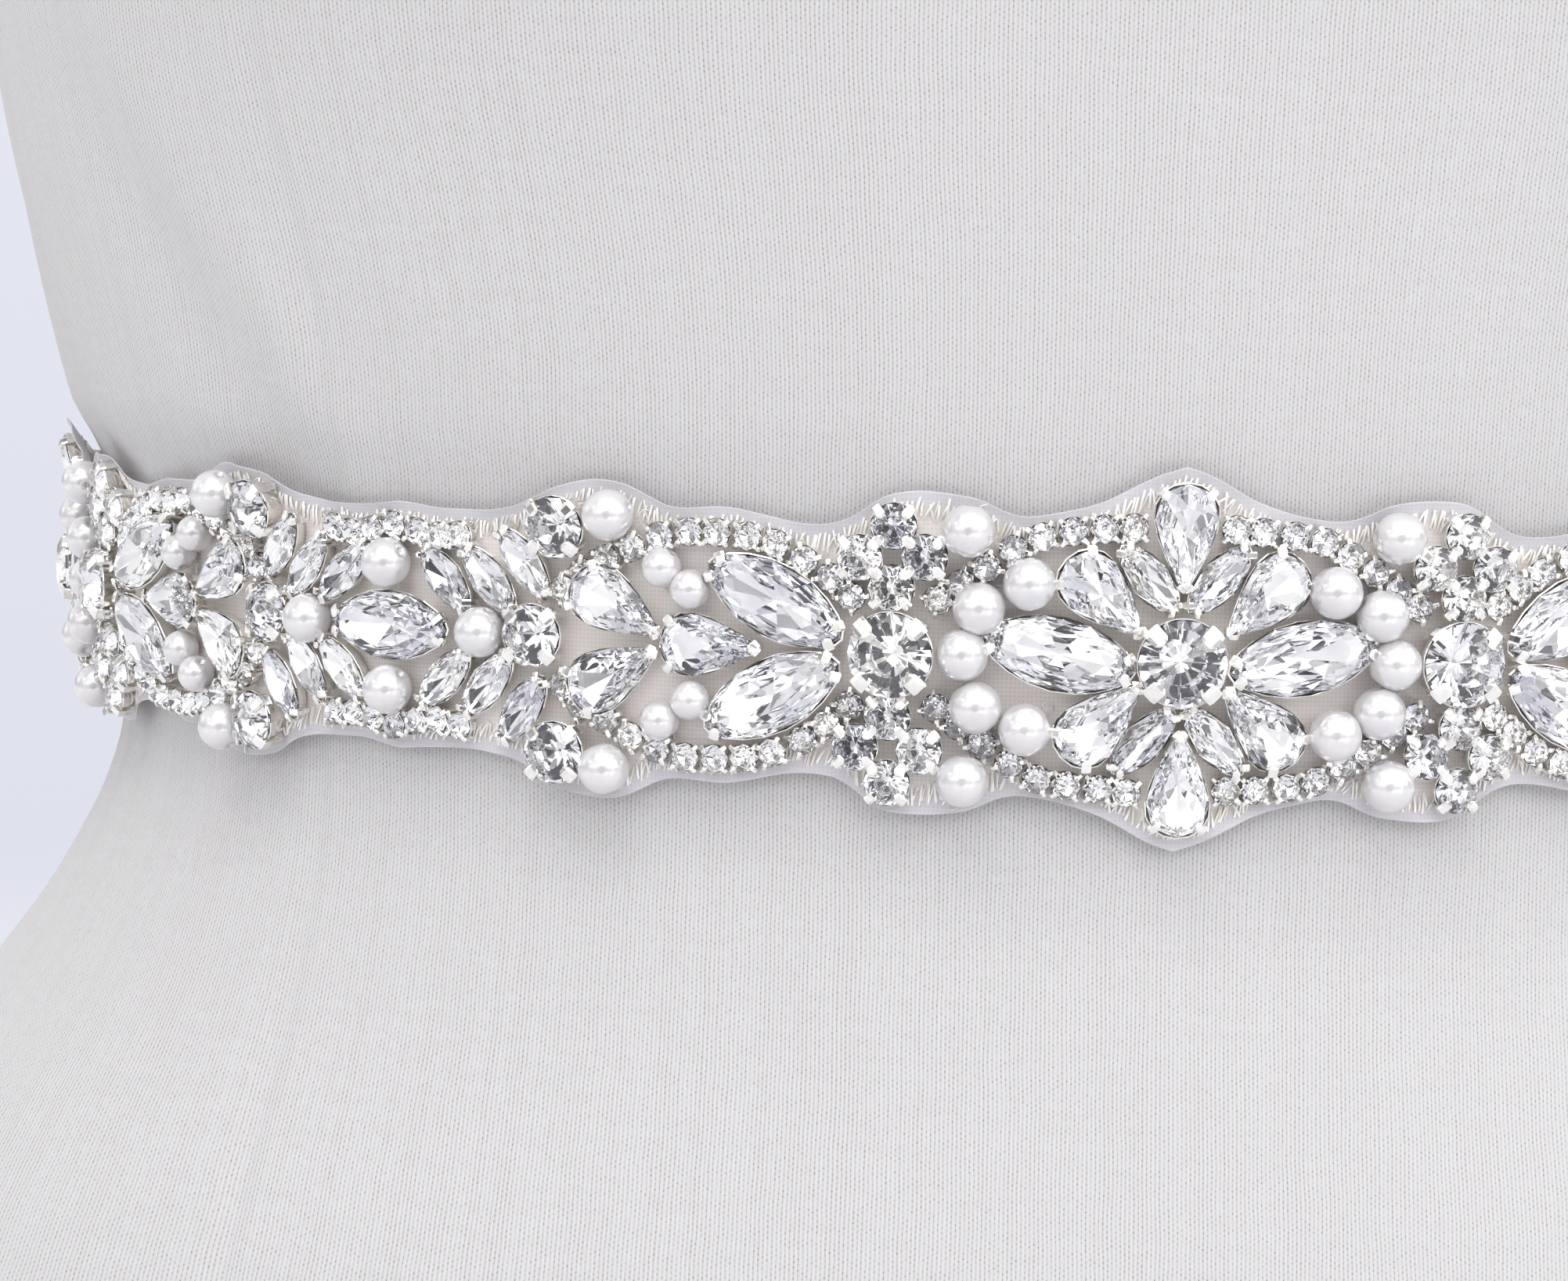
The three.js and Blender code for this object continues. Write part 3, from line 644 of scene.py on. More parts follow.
# %% Sizes of the cover, its seams and its creases
SEAM_DEPTH = 0.2
SEAM_SPREAD = 1.6
SEAM_VALLEY = 0.5
SEAM_RIDGE = -1.8
SEAM_RIDGE_SHARE = 0.5
SEAM_CLEAR = 7.5
SEAM_SIDE_STEPS = (0.35, 0.7, 1.1, 1.6, 2.4, 3.6, 5.5)
PANEL_STEP = math.radians(2.6)
COVER_ROW_STEP = 3.4
FINE_HALF = 30
FINE_ROW_STEP = 2.0
HEM_INSET = 7
HEM_RADIUS = 130
CREASE_BOW = 0.0025
CREASE_LIP = 0.6
CREASE_LIP_AWAY = 1.8

FRONT_SEAM = table(
    "height angle",
    (-239, 46),
    (-66, 49.8),
    (-48, 50.9),
    (-14, 53),
    (26, 50.6),
    (62, 52.7),
    (150, 47.4),
    (310, 42),
    (436, 50),
)
BACK_SEAM = table(
    "height angle",
    (-239, 136),
    (-66, 131),
    (0, 128),
    (62, 130),
    (150, 134),
    (310, 138),
    (436, 130),
)

# Soft creases: middle angle and height, half-length and half-width in millimetres, tilt and depth. The
# first is the diagonal fold beside the left seam.
CREASES = table(
    "angle height length width tilt depth",
    (62.5, 36, 34, 4.5, 63, 1.1),
    (80, 20, 40, 7, 70, 0.8),
    (38, -24, 46, 6, -8, 0.3),
    (8, -27, 40, 5, 4, 0.3),
    (-24, -30, 44, 7, -6, 0.35),
    (18, 70, 60, 12, 20, 0.3),
    (100, -40, 42, 8, -38, 0.8),
    (-96, 34, 44, 8, -64, 0.7),
    (150, -22, 40, 6, 10, 0.5),
    (-148, -24, 42, 6, -12, 0.5),
)

# %% Columns and rows of the cover, and its creases
def seam_angle(seam, height):
    return np.radians(smooth_column(seam, "height", "angle", height))


def cover_columns():
    """Angles of the cover's columns at the waist, with the seam that each one follows and how closely."""
    seams = [seam_angle(FRONT_SEAM, 0), seam_angle(BACK_SEAM, 0), math.pi]
    near = [0.0]
    for seam in seams:
        for step in (0, *SEAM_SIDE_STEPS):
            near += [seam - step / WAIST_RADIUS, seam + step / WAIST_RADIUS]
    wide = np.arange(0, math.pi + PANEL_STEP / 2, PANEL_STEP)
    clear = [a for a in wide if min(abs(a - seam) for seam in seams) > SEAM_CLEAR / WAIST_RADIUS]
    half = sorted({round(float(a), 6) for a in near + clear if 0 <= a <= math.pi})
    return np.array([-a for a in reversed(half[1:-1])] + half)


def on_cover(angle, height):
    """Moves the waist's columns so that they follow the seams up and down the form."""
    far = np.minimum(np.abs(angle), math.pi)
    seams = [seam_angle(seam, height) for seam in (FRONT_SEAM, BACK_SEAM)]
    knots = [0 * height, *seams, np.pi + 0 * height]
    start = [0.0, float(seam_angle(FRONT_SEAM, 0)), float(seam_angle(BACK_SEAM, 0)), math.pi]
    moved = np.zeros_like(far)
    for low, high, from_low, from_high in zip(start, start[1:], knots, knots[1:]):
        share = (far - low) / (high - low)
        moved = np.where((share >= 0) & (share <= 1), from_low + (from_high - from_low) * share, moved)
    return np.sign(angle) * moved


def crease_depth(angle, height):
    """How far the cover sinks in its creases."""
    sunk = np.zeros(np.broadcast(angle, height).shape)
    for i in range(len(CREASES["angle"])):
        reach = {name: column[i] for name, column in CREASES.items()}
        tilt = math.radians(reach["tilt"])
        x = (angle - math.radians(reach["angle"])) * WAIST_RADIUS
        y = height - reach["height"]
        along = x * math.cos(tilt) + y * math.sin(tilt)
        across = y * math.cos(tilt) - x * math.sin(tilt)
        bow = (across - CREASE_BOW * along * along) / reach["width"]
        trough = np.exp(-(bow**2)) - CREASE_LIP * np.exp(-((bow - CREASE_LIP_AWAY) ** 2))
        sunk += reach["depth"] * trough * np.exp(-((along / reach["length"]) ** 2))
    return sunk


def cover_heights():
    """Levels of the cover's rows, which are closer together behind the sash."""
    below = np.linspace(TORSO_BOTTOM, -FINE_HALF, round((-FINE_HALF - TORSO_BOTTOM) / COVER_ROW_STEP))
    behind = np.arange(FINE_ROW_STEP - FINE_HALF, FINE_HALF, FINE_ROW_STEP)
    above = np.linspace(FINE_HALF, NECK_TOP, round((NECK_TOP - FINE_HALF) / COVER_ROW_STEP))
    return np.concatenate([below, behind, above])

# %% Build the cover
def build_cover():
    angles = cover_columns()
    heights = cover_heights()
    waist_angle, height = np.meshgrid(angles, heights, indexing="ij")
    angle = on_cover(waist_angle, height)
    sunk = crease_depth(waist_angle, height)
    for seam in (seam_angle(FRONT_SEAM, 0), seam_angle(BACK_SEAM, 0), math.pi):
        off = (np.abs(waist_angle) - seam) * WAIST_RADIUS
        sunk += SEAM_DEPTH * np.exp(-(((off - SEAM_VALLEY) / SEAM_SPREAD) ** 2))
        sunk -= SEAM_RIDGE_SHARE * SEAM_DEPTH * np.exp(-(((off - SEAM_RIDGE) / SEAM_SPREAD) ** 2))
    points = off_form(angle, height, -sunk)
    inward = 1 - HEM_INSET / HEM_RADIUS
    hem = points[:, :1] * np.array([inward, inward, 1])
    points = np.concatenate([hem, points], 1)
    faces = grid_faces(len(angles), points.shape[1], closed=True)
    cover = make_piece("jersey_cover", points, faces, [jersey])
    knit = np.stack([waist_angle * WAIST_RADIUS, height, 0 * height], -1)
    give_points(cover, "knit_place", np.concatenate([knit[:, :1], knit], 1).reshape(-1, 3))
    return cover


cover = build_cover()
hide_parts("form_torso")

# %% [markdown]
# ## The base and the neck cap
#
# The form stands on a flat board, cut to its own lower outline and a little inside it, and a plain disc
# closes the neck. Both are turned from a ring of points round the form, with softened edges.

# %% Base and neck cap
BASE_THICKNESS = 6
BASE_INSET = 6
BASE_EDGE = 1.5
BASE_HALF_WIDTH = 120
CAP_RIM = 8
CAP_OVERHANG = 1.5
CAP_EDGE = 1.2
CAP_HALF_WIDTH = 54
DOME_FROM = 4.2
DOME_RISE = 3.8
DOME_ROUND = 0.62
DOME_STEPS = 9
EDGE_STEPS = 5
RING_SIDES = 144


def turned_plate(name, rim, levels, material):
    """A closed plate through level rings. levels are (height, size) pairs from the underside to the top."""
    rings = [rim * (size, size, 0) + (0, 0, z) for z, size in levels]
    points = np.concatenate([*rings, [[0, 0, levels[0][0]], [0, 0, levels[-1][0]]]])
    count = len(rim)
    faces = ring_walls(len(rings), count)
    last = (len(rings) - 1) * count
    for i in range(count):
        j = (i + 1) % count
        faces.append([i, j, len(points) - 2])
        faces.append([last + j, last + i, len(points) - 1])
    plate = make_piece(name, points, faces, [material])
    plate.data.polygons.foreach_set("use_smooth", [len(face) == 4 for face in faces])
    return plate


def soft_edge(thickness, edge, half_width):
    """Levels of a plate whose edges are rounded by a quarter turn."""
    turns = np.linspace(0, math.pi / 2, EDGE_STEPS)
    low = [(edge * (1 - math.sin(t)), 1 - edge * (1 - math.cos(t)) / half_width) for t in reversed(turns)]
    high = [(thickness - z, size) for z, size in reversed(low)]
    return low + high


ring = np.linspace(0, 2 * math.pi, RING_SIDES, endpoint=False)
foot_rim = off_form(ring, TORSO_BOTTOM, -BASE_INSET)
base_levels = soft_edge(BASE_THICKNESS, BASE_EDGE, BASE_HALF_WIDTH)
base_plate = turned_plate("base_plate", foot_rim, base_levels, painted_board)
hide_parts("form_base")

neck_rim = off_form(ring, NECK_TOP, CAP_OVERHANG)
cap_from = WAIST_HEIGHT + NECK_TOP + SEAM_GAP
dome = [(cap_from + z, size) for z, size in soft_edge(CAP_RIM, CAP_EDGE, CAP_HALF_WIDTH)[:EDGE_STEPS]]
for turn in np.linspace(0.06, 1, DOME_STEPS) * math.pi / 2:
    dome.append((cap_from + DOME_FROM + DOME_RISE * math.sin(turn), math.cos(turn * DOME_ROUND)))
neck_cap = turned_plate("neck_cap", neck_rim, dome, moulded_cap)
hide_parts("form_neck_cap")

# %% [markdown]
# ## The organza
#
# The organza is cut to a scalloped outline that swells round each medallion. Half of one motif gives the
# outline, and the rest is that half mirrored and repeated. The band floats just off the jersey, and its
# free rim curls out a little between the stitches, which puts the thin shadow under it.

# %% Sizes of the organza band
HALF_MOTIF = 80.9
LAST_MEDALLION = 2 * HALF_MOTIF
LAST_BEAD = LAST_MEDALLION + 65.5
BAND_END = 228.25
END_ROUNDING = 3.2
END_STEPS = 9
LEAST_REACH = 0.02
BAND_OUT = 1.1
BAND_THICKNESS = 0.12
BAND_STEP = 0.75
BAND_ROWS = 25
RIM_CURL = 0.55

# The rim's waves: height in millimetres, and radians to the millimetre
BROAD_WAVE = (0.3, 0.37)
FINE_WAVE = (0.18, 0.93)

SCALLOPS = table(
    "along reach",
    (0, 18.7),
    (2.6, 17.8),
    (7.5, 15.2),
    (12, 13.9),
    (16, 13.6),
    (20.6, 15.3),
    (28, 15.4),
    (32.8, 12.6),
    (37, 12.2),
    (44, 13.5),
    (50, 13.5),
    (55.6, 15.8),
    (61.6, 15.2),
    (67.4, 12.7),
    (74.5, 12.1),
    (HALF_MOTIF, 12.7),
)

# %% Build the band
def reach_at(along):
    """Half the band's height at a length along it, with its ends rounded."""
    folded = np.abs(along) % LAST_MEDALLION
    reach = smooth_column(SCALLOPS, "along", "reach", np.minimum(folded, LAST_MEDALLION - folded))
    past = np.clip((np.abs(along) - BAND_END) / END_ROUNDING, 0, 1)
    return reach * np.sqrt(1 - past * past) + LEAST_REACH


def band_lift(along, share):
    """How far the free rim stands out, and its small waves."""
    broad = BROAD_WAVE[0] * np.sin(along * BROAD_WAVE[1] + 2 * np.sign(share))
    fine = FINE_WAVE[0] * np.sin(along * FINE_WAVE[1])
    return np.abs(share) ** 8 * (RIM_CURL + broad + fine)


def build_band():
    round_end = BAND_END + END_ROUNDING * np.sin(np.linspace(0.12, math.pi / 2, END_STEPS))
    straight = np.linspace(-BAND_END, BAND_END, round(2 * BAND_END / BAND_STEP))
    stations = np.concatenate([-round_end[::-1], straight, round_end])
    shares = np.sin(np.linspace(-math.pi / 2, math.pi / 2, BAND_ROWS))
    along, share = np.meshgrid(stations, shares, indexing="ij")
    up = reach_at(along) * share

    def at(u, v, side):
        return on_sash(along, up, BAND_OUT + band_lift(along, share) + (side - 1) * BAND_THICKNESS)

    points, faces = cloth_shell(len(stations), BAND_ROWS, at)
    band = make_piece("organza_band", points, faces, [organza])
    flat = np.stack([along, up, 0 * up], -1).reshape(-1, 3)
    edge_gap = np.minimum(reach_at(along) - np.abs(up), BAND_END + END_ROUNDING - np.abs(along))
    give_points(band, "weave_place", np.tile(flat, (2, 1)))
    give_points(band, "from_edge", np.tile(edge_gap.ravel(), 2))
    return band


band = build_band()
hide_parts("sash_applique")

# %% [markdown]
# ## The cut stones
#
# Three outlines make all the cut stones: round, navette (a pointed oval) and pear. A brilliant cut is a
# stack of rings of points. Some are turned half a step from the one before, so that the faces between those
# are triangles. The crown rises from the girdle, which is the widest line, to the flat table. The pavilion
# narrows from the girdle to a point behind it. Every stone sits about three degrees askew, as sewn ones do,
# so each mirrors the room its own way.

# %% Stone sizes
# Each stone's outline, length and width, its girdle's height over the cloth, how far its back reaches below
# the girdle and its crown rises above it, the sides of its outline, and its table's share of the width
STONE_SIZES = "shape length width girdle back crown sides table".split()
STONE_ROWS = {
    "centre": ("round", 8.5, 8.5, 4.0, 3.9, 1.2, 16, 0.5),
    "joint": ("round", 8.2, 8.2, 3.9, 3.8, 1.2, 16, 0.5),
    "crystal": ("round", 6.2, 6.2, 3.0, 2.9, 1.0, 10, 0.5),
    "rose": ("round", 4.5, 4.5, 2.2, 2.0, 0.8, 10, 0.5),
    "navette": ("navette", 14.8, 7.1, 2.4, 1.8, 1.1, 10, 0.6),
    "leaf": ("navette", 8.4, 3.9, 1.9, 1.1, 0.8, 8, 0.56),
    "drop": ("pear", 10.0, 6.2, 2.3, 1.6, 1.0, 10, 0.56),
    "chain": ("round", 2.85, 2.85, 1.55, 0.9, 0.65, 8, 0.55),
}
STONES = {kind: dict(zip(STONE_SIZES, sizes)) for kind, sizes in STONE_ROWS.items()}
PEARLS = {"pearl": 5.1, "seed": 3.95}
BEAD_OUT = 1.2
NAVETTE_POINT = 0.22
PEAR_HEAD = 0.6
PEAR_WIDEST = 1.14
TILT = 0.05

# %% Cut a stone
def outline_point(stone, turn):
    """Points of a stone's outline on the cloth, about its own middle, at turns from its long axis."""
    x, y = np.cos(turn), np.sin(turn)
    if stone["shape"] == "navette":
        y = y * (1 - NAVETTE_POINT * x * x)
    if stone["shape"] == "pear":
        y = y * (1 + PEAR_HEAD * x) / PEAR_WIDEST
    return np.stack([stone["length"] / 2 * x, stone["width"] / 2 * y], -1)


# The rings of each cut, from the table down: size, height from the girdle as a share of the crown (above)
# or of the pavilion (below), and whether it is turned half a step. The round cut's long back facets make
# its star.
ROUND_CUT = (("table", 1.0, 0), (0.8, 0.6, 1), (1.0, 0.0, 0), (1.0, -0.1, 0))
LONG_CUT = (("table", 1.0, 0), (0.84, 0.6, 1), (1.0, 0.0, 0), (0.98, -0.1, 0))
CUTS = {"round": ROUND_CUT, "navette": LONG_CUT, "pear": LONG_CUT}


def cut_stone(stone):
    """A faceted stone in its own axes: x along its length, y across it and z out of the cloth."""
    sides, girdle, crown, pavilion = (stone[key] for key in ("sides", "girdle", "crown", "back"))
    rings = CUTS[stone["shape"]]
    points = []
    for size, level, turned in rings:
        size = stone["table"] if size == "table" else size
        turn = 2 * math.pi * (np.arange(sides) + 0.5 * turned) / sides
        flat = outline_point(stone, turn) * size
        z = girdle + (crown if level > 0 else pavilion) * level
        points += [(x, y, z) for x, y in flat]
    points.append((0, 0, girdle - pavilion))
    faces, slots = [list(range(sides))], [0]
    for r in range(len(rings) - 1):
        turned_a, turned_b = rings[r][2], rings[r + 1][2]
        slot = 0 if rings[r + 1][1] >= 0 else 1
        for i in range(sides):
            a, b = r * sides + i, r * sides + (i + 1) % sides
            c, d = a + sides, b + sides
            if turned_b > turned_a:
                faces += [[a, c, b], [c, d, b]]
            elif turned_b < turned_a:
                faces += [[a, d, b], [a, c, d]]
            else:
                faces += [[a, c, d, b]]
            slots += [slot] * (len(faces) - len(slots))
    last = (len(rings) - 1) * sides
    for i in range(sides):
        faces.append([last + i, len(points) - 1, last + (i + 1) % sides])
        slots.append(1)
    return np.array(points), faces, slots

# %% [markdown]
# ### Where the stones lie
#
# The motif is the same to the left and right of each medallion and, but for the two wings, above and below.
# One short table of half a motif places every stone. The marquise between two medallions is shared by them.

# %% Places of the stones
LAYOUT = (
    # stone, along, up, degrees that it points from along towards up, and whether one lies below it too
    ("centre", 0, 0, 0, False),
    ("navette", 11.8, 0.2, 12, False),
    ("drop", 0, 12, 90, True),
    ("drop", 7.7, 6, 44, True),
    ("leaf", 3.4, 7.7, 48, True),
    ("pearl", 14.7, 6.9, 0, True),
    ("pearl", 19.3, 4.75, 0, True),
    ("pearl", 20.75, 0, 0, False),
    ("pearl", 20.6, 12, 0, True),
    ("joint", 27.3, 0, 0, False),
    ("rose", 27.7, 12.4, 0, True),
    ("rose", 30.9, 9.3, 0, True),
    ("rose", 24.5, 9.3, 0, True),
    ("rose", 27.7, 6.25, 0, True),
    ("navette", 39, 4.6, 27.6, True),
    ("drop", 45.4, 0, 0, False),
    ("seed", 47.3, 5.3, 0, True),
    ("seed", 50.5, 7.5, 0, True),
    ("drop", 55.4, 3.4, 30, True),
    ("pearl", 55.8, 12.6, 0, True),
    ("crystal", 61.5, 11.3, 0, True),
    ("crystal", 64.1, 0, 0, False),
    ("leaf", 65.2, 7.3, 54, True),
    ("leaf", 69.3, 5.2, 50, True),
    ("pearl", 69.9, 0, 0, False),
    ("leaf", 74.3, 4.9, 44, True),
    ("pearl", HALF_MOTIF, 6.4, 0, True),
    ("navette", HALF_MOTIF, 0, 0, False),
)

# The cup chain of 3 mm stones that borders the motif, as points that its line passes through
CHAIN_PITCH = 3.15
CHAINS = (
    ((4.6, 12.7), (9, 12.4), (13.6, 11.8), (18.8, 8.6), (23.6, 5.1)),
    (
        (31.5, 5.2),
        (34, 7.3),
        (37, 9.3),
        (41, 10.8),
        (48, 11.1),
        (52, 10.3),
        (55.1, 8.5),
        (58.4, 7.2),
        (61.2, 4.6),
    ),
    ((72.6, 9.7), (76, 9.2), (HALF_MOTIF, 10.3)),
)

# %% Repeat the half motif round the sash
def repeated(along, up, turn, mirror):
    """Every repeat of one place of half a motif, as (along, up, turn in radians)."""
    places = []
    ways = (1,) if along in (0, HALF_MOTIF) else (1, -1)
    turn = math.radians(turn)
    for medallion in (-LAST_MEDALLION, 0, LAST_MEDALLION):
        for way in ways:
            middle = medallion + way * along
            if abs(middle) > LAST_BEAD:
                continue
            for side in (1, -1) if mirror else (1,):
                angle = math.atan2(side * math.sin(turn), way * math.cos(turn))
                places.append((middle, side * up, angle))
    return places


def chain_places():
    """The chain's stones, spaced evenly along its line, with the way that the line runs."""
    places = []
    for line in CHAINS:
        line = np.array(line, float)
        steps = np.linalg.norm(np.diff(line, axis=0), axis=1)
        lengths = np.concatenate([[0], np.cumsum(steps)])
        count = round(lengths[-1] / CHAIN_PITCH)
        for i in range(count + 1):
            near = lengths[-1] * i / count + np.array([-0.5, 0.5])
            x, y = np.interp(near, lengths, line[:, 0]), np.interp(near, lengths, line[:, 1])
            along = HALF_MOTIF if i == count and line[-1, 0] == HALF_MOTIF else x.mean()
            places += repeated(along, y.mean(), math.degrees(math.atan2(y[1] - y[0], x[1] - x[0])), True)
    return places


places = {kind: [] for kind in [*STONES, *PEARLS]}
for kind, along, up, turn, mirror in LAYOUT:
    places[kind] += repeated(along, up, turn, mirror)
places["chain"] = chain_places()
print({kind: len(found) for kind, found in places.items()})

# %% [markdown]
# ### Set the stones in claws
#
# A claw setting is a shallow metal cup, stamped with four prongs that are bent over the stone's edge. From
# the front only a thin line of the cup shows round each stone, and the prongs shine as small white dots.
# Each prong is a short bar that climbs the cup, crosses the girdle and lies on the crown.

# %% Sizes of the settings and prongs
# Where the prongs stand round each outline, in half turns from its long axis
PRONGS = {
    "round": (0.25, 0.75, 1.25, 1.75),
    "navette": (0.13, 0.87, 1.13, 1.87),
    "pear": (0.2, 0.93, 1.07, 1.8),
}

# A prong's width, and how far it lies on the crown
PRONG_SIZES = {
    "centre": (1.7, 1.45),
    "joint": (1.65, 1.4),
    "crystal": (1.3, 1.1),
    "rose": (0.95, 0.85),
    "navette": (1.05, 0.75),
    "leaf": (0.7, 0.55),
    "drop": (0.95, 0.7),
    "chain": (0.5, 0.34),
}
PRONG_THICKNESS = 0.3
BESIDE = 0.05

# A prong's way over the edge. Each point stands at a share of the outline, so many millimetres beyond it,
# less a share of how far the prong lies over the crown. Its height is a share of the girdle's, a rise in
# millimetres, and a climb up the crown's slope, in millimetres and as a share of how far the prong lies over.
PRONG_WAY = table(
    "outline beyond back girdle rise climb climb_share width",
    (0.97, 0.12, 0, 0.25, 0, 0, 0, 0.8),
    (1, 0.3, 0, 0.85, 0, 0, 0, 1),
    (1, 0.26, 0, 1, 0.3, 0, 0, 1),
    (1, -0.1, 0, 1, 0.42, 0.1, 0, 1),
    (1, 0, 0.75, 1, 0.3, 0, 0.72, 0.95),
    (1, 0, 1, 1, 0.08, 0, 0.95, 0.55),
)

# Its section, as shares of its width and thickness, and the cup's rings, as shares of the outline and the
# girdle
PRONG_SECTION = ((-0.5, -0.5), (0.5, -0.5), (0.5, 0.2), (0.28, 0.5), (-0.28, 0.5), (-0.5, 0.2))
CUP_RINGS = ((0.72, 0.0), (0.96, 0.6), (1.025, 0.9), (1.0, 0.93), (0.93, 0.6))

# %% Cup and prong
def cup(stone):
    """The cup round a stone's girdle, up to a thin rolled lip."""
    sides = max(2 * stone["sides"], 16)
    turn = 2 * math.pi * np.arange(sides) / sides
    points = []
    for size, level in CUP_RINGS:
        points += [(x, y, stone["girdle"] * level) for x, y in outline_point(stone, turn) * size]
    faces = ring_walls(len(CUP_RINGS), sides)
    faces.append(list(range(sides))[::-1])
    return np.array(points), faces


def prong(stone, turn, width, over):
    """One prong at a turn from the stone's long axis. over is how far it lies on the crown."""
    edge = outline_point(stone, np.array([turn]))[0]
    beside = outline_point(stone, np.array([turn - BESIDE, turn + BESIDE]))
    along = beside[1] - beside[0]
    along = np.array([*along, 0.0]) / np.linalg.norm(along)
    outward = np.array([along[1], -along[0], 0.0])
    slope = stone["crown"] / (0.5 * (1 - stone["table"]) * stone["width"])
    foot = np.array([*edge, 0.0])
    way = PRONG_WAY
    out_by = way["beyond"] - over * way["back"]
    up_slope = (way["climb"] + over * way["climb_share"]) * slope
    height = stone["girdle"] * way["girdle"] + way["rise"] + up_slope
    spine = foot * way["outline"][:, None] + outward * out_by[:, None]
    spine[:, 2] += height
    last = len(spine) - 1
    sides = len(PRONG_SECTION)
    points = []
    for i, width_share in enumerate(way["width"]):
        out = np.cross(along, spine[min(i + 1, last)] - spine[max(i - 1, 0)])
        out /= np.linalg.norm(out)
        for across, lift in PRONG_SECTION:
            points.append(spine[i] + along * across * width * width_share + out * lift * PRONG_THICKNESS)
    faces = ring_walls(len(spine), sides)
    faces += [list(reversed(range(sides))), [last * sides + i for i in range(sides)]]
    return np.array(points), faces


def joined(parts):
    """Several (points, faces) as one."""
    points, faces, first = [], [], 0
    for some_points, some_faces in parts:
        points.append(some_points)
        faces += [[i + first for i in face] for face in some_faces]
        first += len(some_points)
    return np.concatenate(points), faces

# %% Seat the stones on the form
SEAT_STEP = 0.5
chance = np.random.default_rng(11)


def seat(place, tilt=TILT):
    """A stone's middle and axes on the form: along, up and out of the cloth, a little askew."""
    along, up, angle = place
    step = SEAT_STEP
    spots = on_sash(
        np.array([along, along + step, along - step, along, along]),
        np.array([up, up, up, up + step, up - step]),
        np.full(5, BEAD_OUT),
    )
    t = spots[1] - spots[2]
    t /= np.linalg.norm(t)
    u = spots[3] - spots[4]
    out = np.cross(u, t)
    out /= np.linalg.norm(out)
    u = np.cross(t, out)
    out = out + t * chance.normal(0, tilt) + u * chance.normal(0, tilt)
    out /= np.linalg.norm(out)
    t = t - out * (t @ out)
    t /= np.linalg.norm(t)
    u = np.cross(t, out)
    x = t * math.cos(angle) + u * math.sin(angle)
    y = u * math.cos(angle) - t * math.sin(angle)
    return spots[0], np.stack([x, y, out])


def set_out(name, kinds, model, materials, smooth=False):
    """One piece that holds a copy of model(kind) at every place of those kinds."""
    points, faces, found, first = [], [], [], 0
    for kind in kinds:
        shape_points, shape_faces, *shape_slots = model(kind)
        for place in places[kind]:
            middle, axes = seats[place]
            points.append(middle + shape_points @ axes)
            faces += [[i + first for i in reversed(face)] for face in shape_faces]
            found += shape_slots[0] if shape_slots else [0] * len(shape_faces)
            first += len(shape_points)
    return make_piece(name, np.concatenate(points), faces, materials, smooth=smooth, slots=found)

# %% Stones and their settings
seats = {place: seat(place) for kind in places for place in places[kind]}
STONE_PIECES = {
    "navette_stones": ("navette", "leaf"),
    "pear_stones": ("drop",),
    "round_stones": ("centre", "joint", "crystal", "rose"),
    "cup_chain_stones": ("chain",),
}
for name, kinds in STONE_PIECES.items():
    stones = set_out(name, kinds, lambda kind: cut_stone(STONES[kind]), [crystal_glass, mirror_foil])


def setting(kind):
    """A stone's cup and prongs."""
    stone = STONES[kind]
    width, over = PRONG_SIZES[kind]
    turns = [math.pi * share for share in PRONGS[stone["shape"]]]
    return joined([cup(stone)] + [prong(stone, turn, width, over) for turn in turns])


for name, kinds in STONE_PIECES.items():
    claws = set_out(name.replace("stones", "settings"), kinds, setting, [silver_plate])

# %% [markdown]
# ## The pearls
#
# An imitation pearl is a drilled bead. It is sewn down by a thread through its hole, so the hole lies along
# the cloth. Each pearl is a sphere of rings about its hole, with a small funnel at both ends.

# %% Pearls
PEARL_RINGS = 15
PEARL_SIDES = 22
HOLE = 0.42
FUNNEL_DEPTH = 0.5
FUNNEL_SHARE = 0.7


def pearl_bead(kind):
    """A drilled bead with its hole along x, standing on the cloth."""
    radius = PEARLS[kind] / 2
    start = HOLE / radius
    turns = np.linspace(start, math.pi - start, PEARL_RINGS)
    rows = [(radius * math.cos(t), radius * math.sin(t)) for t in turns]
    funnel = HOLE * FUNNEL_SHARE
    rows = [(rows[0][0] - FUNNEL_DEPTH, funnel), *rows, (rows[-1][0] + FUNNEL_DEPTH, funnel)]
    round_it = 2 * math.pi * np.arange(PEARL_SIDES) / PEARL_SIDES
    points = [(x, r * math.cos(a), r * math.sin(a) + radius) for x, r in rows for a in round_it]
    faces = ring_walls(len(rows), PEARL_SIDES)
    last = (len(rows) - 1) * PEARL_SIDES
    faces += [list(reversed(range(PEARL_SIDES))), [last + i for i in range(PEARL_SIDES)]]
    return np.array(points), faces


for kind in PEARLS:
    for place in places[kind]:
        middle, axes = seats[place]
        spin = chance.uniform(0, 2 * math.pi)
        x = axes[0] * math.cos(spin) + axes[1] * math.sin(spin)
        y = axes[1] * math.cos(spin) - axes[0] * math.sin(spin)
        seats[place] = (middle, np.stack([x, y, axes[2]]))
pearls = set_out("pearls", tuple(PEARLS), pearl_bead, [pearl_lacquer], smooth=True)

# %% [markdown]
# ## Stitches and threads
#
# The rim of the organza is bound by a whip stitch of clear thread, which glints like a row of tiny rods
# just inside the cut edge. Finer loops of the same thread hold down the pearls. Thread of this kind is
# about a tenth of a millimetre thick, finer than a pixel here, so the stitches are drawn 0.26 mm thick and
# the loops 0.12 mm. At that size three sides are enough for a tube.

